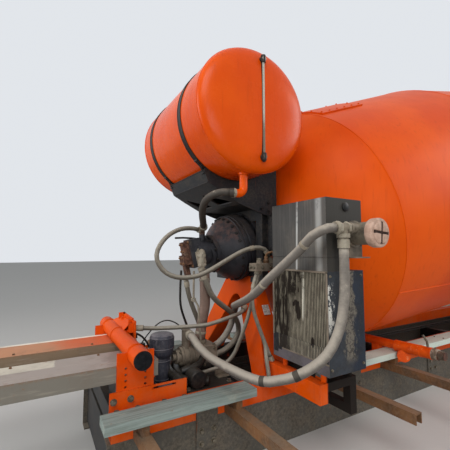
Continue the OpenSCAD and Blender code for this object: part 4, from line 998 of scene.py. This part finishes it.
def front_end():
    with piece("tube_caps", "end_cap", "black") as bm:
        for side in SIDES:
            turned(bm, (TUBE_X, side * 0.514, TUBE_Z), (0, side, 0), [(0, -0.02), (0.044, -0.02),
                (0.044, 0.0), (0.0495, 0.001), (0.0495, 0.006), (0.044, 0.009), (0, 0.009)], 40)
    beads("tube_welds", [ring_line((TUBE_X, side * (0.38 + k * 0.0065), TUBE_Z), (0, side, 0), 0.0515, 48)
        for side in SIDES for k in (-1, 1)], 0.0035, "orange")
    corners = []
    for side in SIDES:
        corners.append([(2.80, side * 0.3735, 0.423), (3.005, side * 0.3735, 0.423)])
        corners.append([(2.816, side * 0.05 - 0.09, 0.655), (2.816, side * 0.14 - 0.09, 0.655)])
        corners.append([(2.79, side * 0.374, 0.56), (2.99, side * 0.374, 0.56)])
    beads("bracket_welds", corners, 0.004, "orange")
    bolts("bracket_bolts", both([((x, 0.394, 0.475), LEFT, 0.026) for x in (2.93, 3.02)]
        + [((x, 0.43, 0.428), UP, 0.026) for x in (2.63, 2.75, 2.9, 3.01)]))
    bolts("beam_bolts", [((x, y, 0.653), UP, 0.012) for x in (3.06, 3.5, 3.9) for y in (0.13, -0.13)],
        "rusty")
    with piece("saddle_gusset", "orange", "orange", bevel=0.001, smooth=False) as bm:
        block(bm, (2.816, -0.285, 0.655), (2.826, -0.225, 0.8205))
        block(bm, (2.816, -0.285, 0.811), (2.826, -0.012, 0.8205))
        block(bm, (2.822, -0.285, 0.772), (2.858, -0.277, 0.8195))
        block(bm, (2.822, -0.020, 0.745), (2.852, -0.012, 0.8155))
        plate(bm, [(2.880, -0.385, 0.748), (2.880, -0.012, 0.748), (2.828, -0.012, 0.798),
            (2.828, -0.283, 0.790)], 0.005)
    with piece("tube_bands", "orange", "orange") as bm:
        for y in (-0.412, -0.101):
            turned(bm, (TUBE_X, y, TUBE_Z), LEFT,
                [(0.048, 0), (0.056, 0.001), (0.0565, 0.021), (0.048, 0.022)], 40)
    with piece("pump_cables", "black", "black", bevel=0.001) as bm:
        pipe(bm, [(2.775, 0.02, 0.58), (2.779, 0.02, 0.633), (2.753, 0.015, 0.675), (2.699, 0.012, 0.735),
            (2.643, 0.01, 0.776), (2.585, 0.01, 0.786), (2.525, 0.015, 0.763), (2.486, 0.02, 0.724),
            (2.44, 0.03, 0.64)], 30, 0.0045)
        pipe(bm, [(2.81, -0.01, 0.725), (2.768, 0.0, 0.700), (2.733, 0.0, 0.661), (2.70, 0.0, 0.60)],
            12, 0.007)
        block(bm, (2.742, -0.015, 0.628), (2.778, 0.015, 0.652))
        block(bm, (2.795, -0.02, 0.690), (2.815, 0.01, 0.722))


# Drive
CANISTER = Vector((2.655, 0.1, DECK_Z))


def drive():
    shoulder = -0.1985
    bolts("gearbox_bolts", [(around(-0.031, 0.246, 22.5 * k), -ALONG, 0.020) for k in range(16)]
        + [(around(-0.351, 0.138, 30 * k + 15), -ALONG, 0.018) for k in range(12)]
        + [(around(shoulder, 0.243, 15 * k), around(shoulder, 1, 15 * k) - axis_point(shoulder) - ALONG * 0.6,
            0.018) for k in range(24)], "dark_bolt")
    bolts("drive_bolts", [((1.969, y, 1.094), FRONT, 0.022)
        for y in (-0.155, -0.11, -0.066, -0.022, 0.022, 0.066, 0.11, 0.155)], "dark_bolt")
    bolts("motor_bolts", [(axis_point(s, u, y), -ALONG, 0.013) for s, u, y in (
        (MOTOR_END - 0.001, -0.045, 0.07), (MOTOR_END - 0.001, 0.13, 0.07), (MOTOR_END - 0.001, 0.13, -0.004),
        (-0.573, 0.07, 0.012), (-0.573, 0.07, 0.05), (-0.573, 0.12, 0.012), (-0.573, 0.12, 0.05),
        (-0.589, -0.015, -0.005), (-0.589, -0.015, 0.045),
        (-0.589, 0.025, -0.005), (-0.589, 0.025, 0.045))], "rusty")
    with piece("gearbox_ribs", "cast", "cast") as bm:
        for s in (-0.15, -0.18):
            turned(bm, axis_point(s), ALONG,
                [(0.256, 0), (0.262, 0.003), (0.262, 0.012), (0.256, 0.015)], 64)
    with piece("drive_pipes", "black", "black") as bm:
        rod(bm, [(2.532, 0.0, 1.369), (2.47, 0.0, 1.372), (2.40, 0.01, 1.370), (2.364, 0.02, 1.366)], 0.007)
        pipe(bm, [(2.46, -0.05, 1.13), (2.462, -0.06, 1.0), (2.45, -0.075, 0.86), (2.40, -0.08, 0.72),
            (2.352, -0.07, 0.60)], 18, 0.009)
        for radius, path in (
                (0.030, [(2.56, 0.30, 0.46), (2.60, 0.16, 0.465), (2.585, 0.02, 0.47), (2.50, -0.08, 0.475),
                    (2.40, -0.10, 0.48)]),
                (0.022, [(2.56, 0.22, 0.50), (2.47, 0.24, 0.52), (2.40, 0.20, 0.54), (2.375, 0.12, 0.55)]),
                (0.026, [(2.42, 0.34, 0.45), (2.50, 0.26, 0.455), (2.54, 0.12, 0.46), (2.50, -0.02, 0.46),
                    (2.38, -0.04, 0.47)])):
            pipe(bm, path, 22, radius, 12)
        turned(bm, (2.50, 0.355, 0.475), -LEFT, [(0, 0), (0.05, 0), (0.055, 0.006), (0.055, 0.10),
            (0.048, 0.108), (0, 0.108)], 28)
        turned(bm, (2.60, 0.33, 0.46), -LEFT,
            [(0, 0), (0.035, 0), (0.038, 0.004), (0.038, 0.08), (0, 0.084)], 24)
    with piece("tie_rod", "fitting", "fitting") as bm:
        rod(bm, [(2.414, 0.075, 1.13), (2.412, 0.07, 0.94), (2.376, 0.07, 0.877), (2.352, 0.075, 0.60)],
            0.0075, 10)
        sleeve(bm, (2.412, 0.062, 0.925), LEFT, 0.007, 0.017, 0.014, 20)
    with piece("elbow_nuts", "fitting", "fitting", bevel=0.0015, smooth=False) as bm:
        for z, radius, height in ((1.232, 0.031, 0.02), (1.196, 0.026, 0.012), (1.162, 0.030, 0.024)):
            sleeve(bm, (2.369, 0.116 - (1.232 - z) * 0.1, z), UP, 0.012, radius, height, 6)
    with piece("motor_elbow", "fitting", "fitting") as bm:
        disc(bm, (2.364, 0.083, 1.268), LEFT, 0.034, 0.012)
        pipe(bm, [(2.364, 0.084, 1.268), (2.365, 0.108, 1.266), (2.367, 0.119, 1.248), (2.369, 0.117, 1.22),
            (2.372, 0.108, 1.165)], 16, 0.0225, 14)
    with piece("canister_ribs", "canister", "black") as bm:
        for z, r in ((0.01, 0.054), (0.125, 0.054), (0.208, 0.0775), (0.274, 0.0775)):
            turned(bm, CANISTER + UP * z, UP,
                [(r, 0), (r + 0.004, 0.002), (r + 0.004, 0.008), (r, 0.010)], 40)
        for k in range(24):
            block(bm, (0.077, -0.003, 0.222), (0.0815, 0.003, 0.272),
                Matrix.Translation(CANISTER) @ Matrix.Rotation(math.tau * k / 24, 4, "Z"))
    places = [((2.532, 0.1 + 0.05 * math.cos(a), 0.552 + 0.05 * math.sin(a)), FRONT, 0.016)
        for a in (0.8, 2.4, 3.9, 5.5)]
    places += [((x, 0.131, z), LEFT, 0.018) for x in (2.27, 2.355) for z in (0.48, 0.58)]
    places += [((x, y, 0.601), UP, 0.018) for x in (2.27, 2.36) for y in (-0.075, 0.115)]
    places += [((x, y, DECK_Z + 0.0005), UP, 0.022) for x in (2.27, 2.56) for y in (-0.33, 0.33)]
    bolts("pump_bolts", places)


# Pedestal
FOOT_Z, FOOT_FRONT = DECK_Z + 0.0015, 2.1155


def pedestal():
    with piece("blank_plate", "label", "board", bevel=0.001) as bm:
        block(bm, (-0.020, -0.036, -0.0035), (0.034, 0.036, 0.0035),
            basis((1.945, 0.3225, 0.851), (0, 0.891, 0.4545), FRONT))
    lines = []
    for side in SIDES:
        lines.append([(FOOT_FRONT, side * 0.39, FOOT_Z), (FOOT_FRONT, side * 0.53, FOOT_Z)])
        lines.append([(1.902, side * 0.533, FOOT_Z), (FOOT_FRONT, side * 0.533, FOOT_Z)])
    beads("pedestal_welds", lines, 0.004, "orange")
    arch = [(0.388, 0.42), (0.345, 0.488), (0.287, 0.566), (0.197, 0.696), (0.107, 0.825), (0.09, 0.875),
        (0.06, 0.918), (0.02, 0.94)]
    arch += [(-y, z) for y, z in reversed(arch)]
    beads("arch_rim", [[(2.111 - 0.22 * (z - DECK_Z), y * 0.99, z - 0.003) for y, z in arch]], 0.006,
        "orange", ripple=0.02, step=0.02)
    bolts("manifold_bolts", [((x, 0.429, 1.163), LEFT, 0.020) for x in (1.92, 1.99, 2.06)]
        + [((x, 0.39, 1.207), UP, 0.030) for x in (1.915, 2.06)]
        + [((2.113, y, 1.163), FRONT, 0.018) for y in (0.365, 0.405)], "bolt")
    with piece("manifold_tap", "rusty", "rusty") as bm:
        turned(bm, (2.0, 0.39, 1.190), UP, [(0, 0), (0.02, 0), (0.02, 0.02), (0.013, 0.026), (0.013, 0.045),
            (0.009, 0.05), (0, 0.05)], 14)
        pipe(bm, [(2.0, 0.39, 1.235), (2.002, 0.40, 1.255), (1.98, 0.43, 1.268), (1.93, 0.45, 1.262)],
            10, 0.008)


# Water tank
TANK, TANK_R = Vector((2.261, 0.114, 2.15)), 0.395
FILLER = Vector((2.281, 0.234, 2.533))
SIGHT_X, SIGHT_Y = 2.235, 0.69
STRAPS = (0.361, -0.215)


def tank_outline():
    """The tank's outer line as (radius, distance from its middle), with a tight knuckle at each end."""
    end = [(TANK_R * math.cos(a) ** 0.45, 0.505 + 0.07 * math.sin(a))
        for a in (math.radians(90 * k / 26) for k in range(26))]
    half = [(TANK_R, d) for d in (0.0, 0.2, 0.4, 0.498)] + end + [(0.0, 0.575)]
    return [(r, -d) for r, d in reversed(half)][:-1] + half


def tank():
    with piece("tank_skin", "orange_tank", "orange", instead_of="water_tank") as bm:
        turned(bm, TANK, LEFT, tank_outline(), 96)
        disc(bm, FILLER, UP, 0.08, 0.05, 48)
    with piece("filler_lid", "orange_tank", "orange") as bm:
        turned(bm, FILLER + UP * 0.043, UP, [(0, 0), (0.088, 0), (0.09, 0.004), (0.088, 0.018),
            (0.07, 0.024), (0, 0.026)], 48)
    seams = [ring_line(TANK + LEFT * side * 0.505, LEFT, TANK_R + 0.0005, 96) for side in SIDES]
    beads("tank_seams", seams, 0.0025, "orange_tank", ripple=0.1, step=0.015)
    with piece("strap_tensioners", "black", "black", bevel=0.001) as bm:
        for y in STRAPS:
            low, top = Vector((2.470, y, 1.790)), Vector((2.532, y, 1.862))
            rod(bm, [low - UP * 0.02, top], 0.005)
            disc(bm, low.lerp(top, 0.35), top - low, 0.010, 0.012, 6)
            block(bm, (2.456, y - 0.020, 1.777), (2.490, y + 0.020, 1.784))
            block(bm, (2.528, y - 0.020, 1.852), (2.541, y + 0.020, 1.864))
    beads("strap_edges", [ring_line((TANK.x, y + side * 0.0225, TANK.z), LEFT, TANK_R + 0.0035, 96)
        for y in STRAPS for side in SIDES], 0.0022, "black", ripple=0.0, step=0.02)
    with piece("sight_fittings", "black", "black") as bm:
        for z in (1.8435, 2.462):
            turned(bm, (SIGHT_X, SIGHT_Y - 0.068, z), LEFT, [(0, 0), (0.022, 0), (0.022, 0.012),
                (0.016, 0.014), (0.016, 0.05), (0.019, 0.052), (0.019, 0.066), (0.013, 0.068), (0, 0.068)],
                18)
            disc(bm, (SIGHT_X, SIGHT_Y, z - 0.022), UP, 0.0155, 0.044, 18)
        turned(bm, (SIGHT_X, SIGHT_Y, 1.812), UP, [(0, 0), (0.009, 0), (0.012, 0.012), (0, 0.014)], 12)
    with piece("outlet_clamp", "fitting", "fitting", bevel=0.0008) as bm:
        turned(bm, (2.376, 0.56, 1.63), FRONT, [(0.024, -0.012), (0.0295, -0.012), (0.0305, -0.004),
            (0.0305, 0.006), (0.0295, 0.008), (0.024, 0.008)], 28)
        block(bm, (2.370, 0.583, 1.622), (2.382, 0.594, 1.638))
    with piece("outlet_flange", "orange_tank", "orange") as bm:
        sleeve(bm, (2.3, 0.56, 1.755), UP, 0.025, 0.034, 0.026, 28, -0.006)
    # A dark sheet under the cradle's rear, standing for the shade behind the top of the gearbox.
    with piece("cradle_shade_sheet", "dark", "dark") as bm:
        block(bm, (1.978, -0.262, 1.50), (1.984, 0.262, 1.602))
    beads("cradle_welds", [[(x, -0.22, z), (x, 0.37, z)] for x, z in ((2.456, 1.7235), (2.488, 1.8))],
        0.0035, "dark", ripple=0.15)
    bolts("cradle_bolts", [((x, 0.384, z), LEFT, 0.018)
        for x, z in ((1.97, 1.56), (1.97, 1.62), (2.03, 1.575))], "dark_bolt")


# Oil cooler
CAP = Vector((1.867, 1.148, 1.37))
SHEET_Y = COOLER_SIDE - 0.0005
CORE_X = COOLER_FRONT - 0.002


def cooler():
    with piece("tank_port", "black", "black") as bm:
        turned(bm, (1.928, SHEET_Y, 1.519), LEFT, [(0, 0), (0.026, 0), (0.026, 0.006), (0.018, 0.010),
            (0, 0.010)], 28)
    with piece("cap_rim", "cap", "cap") as bm:
        turned(bm, CAP, LEFT, [(0.058, -0.001), (0.0765, -0.001), (0.0775, 0.002), (0.0775, 0.034),
            (0.076, 0.038), (0.072, 0.041), (0.065, 0.042), (0.058, 0.042)], 48)
    with piece("cap_grooves", "groove", "cap") as bm:
        disc(bm, CAP, LEFT, 0.0575, 0.0135, 36, 0.034)
    with piece("cap_pads", "cap", "cap", bevel=0.0035) as bm:
        for k in range(4):
            a = math.radians(90 * k + 40)
            turned(bm, CAP + Vector((math.sin(a), 0, math.cos(a))) * 0.0095, LEFT, [(0, 0.036),
                (0.053, 0.036), (0.053, 0.044), (0.046, 0.051), (0, 0.051)], 10, 90 * k - 5, 90 * k + 85)
    with piece("filter_bracket", "pump", "dark", bevel=0.0015) as bm:
        block(bm, (1.80, SHEET_Y, 1.236), (1.922, 1.075, 1.2425))
        block(bm, (1.80, SHEET_Y, 1.236), (1.922, 1.0245, 1.300))
    with piece("tee_nuts", "fitting", "fitting", bevel=0.002, smooth=False) as bm:
        for x, width in ((1.987, 0.018), (2.05, 0.022)):
            sleeve(bm, (x, 1.08, 1.395), FRONT, 0.02, 0.036, width, 6)
        sleeve(bm, (2.02, 1.08, 1.343), UP, 0.02, 0.035, 0.022, 6)
    with piece("lower_fins", "dirty_fins", "dirty_fins", smooth=False) as bm:
        for k in range(4, 38):
            y = 0.577 + k * 0.431 / 38
            block(bm, (COOLER_FRONT, y, 0.690), (2.0835, y + 0.0045, 0.768))
    # A dark sheet just behind the lower fins, standing for the shade in the gaps between them.
    with piece("fin_gap_shade", "fan", "fan", smooth=False) as bm:
        for first, last, foot in ((0.645, 1.014, 0.688), (0.570, 0.612, 0.655), (0.612, 0.645, 0.672)):
            block(bm, (2.0795, first, foot), (2.0806, last, 0.768))
    with piece("core_frame", "pump", "dirty_fins", bevel=0.001) as bm:
        for y in (0.571, 1.014):
            block(bm, (CORE_X, y - 0.006, 0.757), (2.0825, y + 0.006, 1.164))
        block(bm, (CORE_X, 0.565, 1.156), (2.0825, COOLER_SIDE, 1.166))
        block(bm, (CORE_X, 0.65, 0.682), (2.0825, COOLER_SIDE, 0.690))
    hub = Vector((1.798, 0.7925, 0.9605))
    spokes = [[hub + Vector((0, r * math.cos(a), r * math.sin(a))) for r in (0.05, 0.21)]
        for a in (math.tau * k / 8 for k in range(8))]
    beads("fan_guard", [ring_line(hub, FRONT, r, 64) for r in (0.05, 0.09, 0.13, 0.17, 0.205)] + spokes,
        0.003, "black", ripple=0.0, step=0.02)
    bolts("cooler_bolts", [((x, 1.0205, z), LEFT, 0.011) for x in (1.815, 2.062) for z in (0.66, 1.14)]
        + [((1.7935, y, z), -FRONT, 0.014) for y in (0.60, 0.79, 0.985) for z in (0.66, 1.14, 1.26, 1.53)])
    corner = (COOLER_FRONT + 0.0005, COOLER_SIDE + 0.0005)
    beads("oil_tank_seams", [[(2.0805, 0.5655, 1.2405), (2.0805, SHEET_Y, 1.2405)],
        [(1.7935, 1.0205, 1.2405), (*corner, 1.2405)], [(*corner, 1.17), (*corner, 1.562)]], 0.0022,
        "tank_steel", ripple=0.05)


# Bands on the hoses
def hose_bands():
    with piece("hose_bands", "fitting", "fitting") as bm:
        for hose, at, radius, width, lip in (
                ("return_hose", 0.115, 0.0265, 0.02, 0.0014), ("return_hose", 0.31, 0.0258, 0.016, 0.0004),
                ("loop_hose", 0.88, 0.0175, 0.03, 0.0012), ("loop_hose", 0.97, 0.0175, 0.03, 0.0012),
                ("drain_hose_a", 0.16, 0.0145, 0.03, 0.0012), ("drain_hose_a", 0.24, 0.0145, 0.03, 0.0012),
                ("drain_hose_b", 0.12, 0.0145, 0.03, 0.0012), ("motor_hose", 0.05, 0.022, 0.04, 0.0016),
                ("tank_hose", 0.08, 0.019, 0.04, 0.0016), ("riser_hose", 0.10, 0.0395, 0.018, 0.002),
                ("riser_hose", 0.90, 0.0395, 0.018, 0.002)):
            collar(bm, ROUTES[hose], at, radius, width, lip)
    with piece("hose_marks", "hose_black", "hose") as bm:
        for at, width in ((0.455, 0.030), (0.565, 0.026)):
            collar(bm, ROUTES["suction_hose"], at, 0.0256, width, 0.0003)
    with piece("drain_tail", "hose", "hose") as bm:
        pipe(bm, [ROUTES["drain_hose_a"][20], (2.085, 0.487, 0.652), (2.093, 0.503, 0.612),
            (2.101, 0.520, 0.57), (2.103, 0.535, 0.52), (2.102, 0.545, 0.455), (2.102, 0.549, 0.424)],
            24, 0.0134, 14)


# Drum
HEAD_END, CONE_END, BELLY_END = 0.59, 2.05, 2.9
BELLY_R, HEAD_R, MOUTH = 1.2, 1.0, 5.0


def skin_radius(s):
    """Radius of the drum's shell at a distance along the axis."""
    if s < CONE_END:
        return HEAD_R + (BELLY_R - HEAD_R) * (s - HEAD_END) / (CONE_END - HEAD_END)
    return BELLY_R if s < BELLY_END else BELLY_R - 0.64 * (s - BELLY_END) / (MOUTH - BELLY_END)


def drum_outline():
    """The drum's outer line as (radius, distance), from hub to head to mouth, and back inside."""
    def sag(r):
        return 1.16 - math.sqrt(1.16 ** 2 - r * r)

    head = [(r, 0.045 + 0.545 * (sag(r) - sag(0.25)) / (sag(1.0) - sag(0.25)))
        for r in (0.25 + 0.735 * k / 28 for k in range(29))]
    knuckle = [(0.992, 0.577), (0.998, 0.586), (1.001, 0.597), (1.003, 0.61)]
    shell = [(skin_radius(s), s) for s in (0.65, 0.8, 1.0, 1.25, 1.5, 1.75, 1.95, 2.03, 2.045, 2.055,
        2.07, 2.2, 2.45, 2.7, 2.87, 2.892, 2.908, 2.93, 3.1, 3.4, 3.7, 4.0, 4.3, 4.6, 4.8, MOUTH)]
    back = [(r - 0.006, s) for r, s in reversed(shell)]
    inner = [(r - 0.0042, s + 0.006) for r, s in reversed(head)]
    hub = [(0.0, 0.006), (0.235, 0.006), (0.25, 0.012), (0.25, 0.04)]
    return hub + head + knuckle + shell + back + inner + [(0.0, 0.065)]


def drum():
    with piece("drum_skin", "orange_drum", "orange", "drum", instead_of="drum_shell") as bm:
        turned(bm, FLANGE, ALONG, drum_outline(), 144)
    rings = ((0.592, HEAD_R + 0.0005), (CONE_END, BELLY_R), (BELLY_END, BELLY_R))
    beads("drum_seams", [ring_line(axis_point(s), ALONG, r, 128) for s, r in rings], 0.003,
        "orange_drum", "drum", ripple=0.12, step=0.02)
    seams = []
    for first, last, angle, turn in ((0.6, 2.04, 120.3, 7.2), (2.06, 2.89, 62, 0), (2.91, 4.2, 118, 0),
            (0.6, 2.04, -70, 0), (2.06, 2.89, -110, 0)):
        run = [first + (last - first) * k / 24 for k in range(25)]
        seams.append([around(s, skin_radius(s) + 0.001, angle + turn * (s - first)) for s in run])
    beads("drum_lengthwise_seams", seams, 0.004, "orange_drum", "drum", ripple=0.15, step=0.02)
    edge = [(0.66 + 0.088 * k, angle) for k in range(6) for angle in (-4.5, 26.5)]
    edge += [(s, -4.5 + 6.2 * k) for k in range(1, 5) for s in (0.66, 1.10)]
    bolts("hatch_bolts", [(around(s, skin_radius(s) + 0.0125, a), around(s, 1, a) - axis_point(s), 0.012)
        for s, a in edge], "orange_drum", "drum")
    with piece("mouth_rim", "orange_drum", "orange", "drum", bevel=0.003) as bm:
        sleeve(bm, FLANGE, ALONG, 0.545, 0.575, 0.019, 96, MOUTH - 0.015)


# Frame
WASH_X = 0.84
TIES = (2.5, 1.2, 0.1, -1.2, -2.9)


def frame_details():
    bolts("frame_bolts", both([((x, 0.4605, 0.36 if k % 2 else 0.39), LEFT, 0.026)
        for k, x in enumerate((2.98, 2.2, 1.75, 1.1, 0.45, -0.2, -1.0, -1.8, -2.45, -3.1))]))
    with piece("tie_plates", "chassis", "chassis", bevel=0.003) as bm:
        for side in SIDES:
            low, high = sorted((side * 0.4595, side * 0.472))
            for x in TIES:
                block(bm, (x - 0.07, low, 0.13), (x + 0.07, high, 0.40))
    bolts("tie_bolts", both([((x + dx, 0.472, z), LEFT, 0.024) for x in TIES for dx in (-0.04, 0.04)
        for z in (0.17, 0.24, 0.36)]))
    bolts("board_screws", both([((x, y, 0.462), UP, 0.011) for x in (1.5, 0.1, -0.7, -2.15)
        for y in (0.50, 0.58)]), "bolt")
    with piece("air_lines", "black", "black") as bm:
        for side in SIDES:
            path = smooth_route([(x, side * 0.345, z) for x, z in
                ((3.0, 0.25), (1.5, 0.247), (0.0, 0.25), (-1.5, 0.246), (-3.2, 0.25))], 40)
            tube(bm, path, 0.011, 8)
            tube(bm, [p - UP * 0.026 for p in path], 0.008, 8)
    with piece("rail_gusset", "filter", "rusty", bevel=0.001) as bm:
        block(bm, (2.225, 0.20, DECK_Z), (2.31, 0.212, 0.455))
        block(bm, (2.225, 0.20, DECK_Z), (2.31, 0.26, 0.428))
    with piece("wash_wraps", "wash", "orange") as bm:
        for y, r, width in (
                (0.587, 0.044, 0.012), (0.70, 0.0435, 0.01), (0.78, 0.0445, 0.014), (0.86, 0.044, 0.012)):
            turned(bm, (WASH_X, y, 0.509 + (y - 0.585) * 0.025), (0, 1, 0.025),
                [(0.038, 0), (r, 0.002), (r, width - 0.002), (0.038, width)], 28)
    with piece("wash_thread", "filter", "rusty") as bm:
        for k in range(5):
            turned(bm, (WASH_X, 0.918 + 0.008 * k, 0.5192), (0, 1, 0.02),
                [(0.027, 0), (0.0315, 0.002), (0.0315, 0.005), (0.027, 0.007)], 24)
        turned(bm, (WASH_X, 0.893, 0.518), (0, 1, 0.02),
            [(0.03, 0), (0.042, 0.001), (0.042, 0.006), (0.03, 0.007)], 24)
        rod(bm, [(WASH_X, 0.84, 0.556), (0.842, 0.835, 0.60), (0.85, 0.81, 0.64)], 0.009, 10)


# Rear end
HOPPER_REAR, HOPPER_FRONT, HOPPER_SIDE = -3.9, -3.0, 0.48
SWIVEL = Vector((-3.48, 0, 1.26))
TROUGH_SLOPE, TROUGH_MID = math.radians(25), 0.17


def chute_point(x, y, z):
    """A place on the lowered chute, x along its trough, y to its side and z square to it."""
    c, s = math.cos(TROUGH_SLOPE), math.sin(TROUGH_SLOPE)
    return Vector((SWIVEL.x - (x * c + z * s), -y, SWIVEL.z - x * s + z * c))


def trough_line(x, radius, first, count):
    """A line round the trough's underside, from an angle in steps of 8 degrees."""
    return [chute_point(x, radius * math.sin(a), TROUGH_MID - radius * math.cos(a))
        for a in (math.radians(first + 8 * k) for k in range(count))]


def rear_end():
    corners = [(HOPPER_REAR, 1), (HOPPER_FRONT, 1), (HOPPER_FRONT, -1), (HOPPER_REAR, -1), (HOPPER_REAR, 1)]
    beads("hopper_rim", [[(x, side * HOPPER_SIDE, 3.228) for x, side in corners]], 0.011, "orange_rear",
        ripple=0.0, step=0.03)
    walls = ((HOPPER_REAR, 0.57), (HOPPER_FRONT, -0.01))
    beads("hopper_seams", [[(x + slant * t, side * (HOPPER_SIDE - 0.29 * t), 3.23 - 0.47 * t)
        for t in (0.02, 0.5, 0.98)] for x, slant in walls for side in SIDES], 0.005, "orange_rear",
        ripple=0.12)
    for body, name, low, high in (
            ("chute", "main", -0.135, 1.245), ("extension", "extension", 1.268, 1.99)):
        lines = [[chute_point(x, side * 0.2285, 0.172) for x in (low, high)] for side in SIDES]
        lines += [trough_line(x, 0.228, -88, 23) for x in (low, high)]
        beads(name + "_chute_rim", lines, 0.009, "orange_rear", body, ripple=0.0, step=0.025)
    beads("chute_straps", [trough_line(x, 0.231, -86, 22) for x in (0.25, 0.7)], 0.008,
        "orange_rear", "chute", ripple=0.0, step=0.025)
    grip = ((1.80, 0.236, 0.12), (1.80, 0.262, 0.14), (1.86, 0.262, 0.14), (1.86, 0.236, 0.12))
    beads("extension_grips", [[chute_point(x, side * y, z) for x, y, z in grip] for side in SIDES],
        0.007, "dark", "extension", ripple=0.0, step=0.01)
    bolts("swivel_bolts", [((SWIVEL.x + 0.078 * math.cos(a), 0.078 * math.sin(a), 1.091), UP, 0.02)
        for a in (math.tau * k / 8 for k in range(8))]
        + [(SWIVEL + LEFT * side * 0.2625, (0, side, 0), 0.05) for side in SIDES],
        "bolt", "swivel")
    bolts("post_bolts", both([((x, 0.7205, z), LEFT, 0.026) for x in (-3.16, -3.12)
        for z in (0.34, 0.40, 1.71, 1.75, 2.99)]))


for dress in (front_end, drive, pedestal, tank, cooler, hose_bands, drum, frame_details, rear_end):
    dress()


# Floor and light
def set_floor():
    mesh = bpy.data.meshes.new("floor")
    mesh.from_pydata([(-40, -40, 0), (40, -40, 0), (40, 40, 0), (-40, 40, 0)], [], [(0, 1, 2, 3)])
    mesh.materials.append(Finish("pale_floor").surface((196, 194, 190), 0.9))
    new_object("floor", mesh)


def set_world():
    """A pale world that lights the object weakly and is seen, also in reflections, at full strength."""
    world = bpy.data.worlds.new("studio")
    bpy.context.scene.world = world
    world.use_nodes = True
    nodes, links = world.node_tree.nodes, world.node_tree.links
    light = nodes["Background"]
    light.inputs["Color"].default_value = (0.92, 0.96, 1.0, 1)
    light.inputs["Strength"].default_value = 0.42
    seen = nodes.new("ShaderNodeBackground")
    seen.inputs["Color"].default_value = (0.80, 0.83, 0.87, 1)
    seen.inputs["Strength"].default_value = 0.95
    rays = nodes.new("ShaderNodeLightPath")
    either, any_seen = nodes.new("ShaderNodeMath"), nodes.new("ShaderNodeMath")
    either.operation = any_seen.operation = "MAXIMUM"
    choose = nodes.new("ShaderNodeMixShader")
    links.new(rays.outputs["Is Camera Ray"], either.inputs[0])
    links.new(rays.outputs["Is Glossy Ray"], either.inputs[1])
    links.new(either.outputs[0], any_seen.inputs[0])
    links.new(rays.outputs["Is Transmission Ray"], any_seen.inputs[1])
    links.new(any_seen.outputs[0], choose.inputs[0])
    links.new(light.outputs[0], choose.inputs[1])
    links.new(seen.outputs[0], choose.inputs[2])
    links.new(choose.outputs[0], nodes["World Output"].inputs[0])


def set_lamps():
    for name, place, aim, size, power, spread in (
            ("key", (6.5, 6.5, 8.5), (1.5, 0, 1.2), 5.0, 440, 180),
            ("fill", (9.5, -1.5, 3.2), (2.0, 0, 1.2), 5.0, 100, 90),
            ("side", (4.5, 9.5, 2.4), (0.5, 0.5, 0.6), 4.0, 56, 90),
            ("rear", (-8.0, 5.0, 6.0), (-2.0, 0, 1.6), 5.0, 320, 180)):
        data = bpy.data.lights.new(name, "AREA")
        data.size = size
        data.energy = power
        data.spread = math.radians(spread)
        lamp = new_object(name, data)
        lamp.location = place
        lamp.rotation_euler = (Vector(place) - Vector(aim)).to_track_quat("Z", "Y").to_euler()


set_floor()
set_world()
set_lamps()
bpy.context.scene.view_settings.view_transform = "Standard"
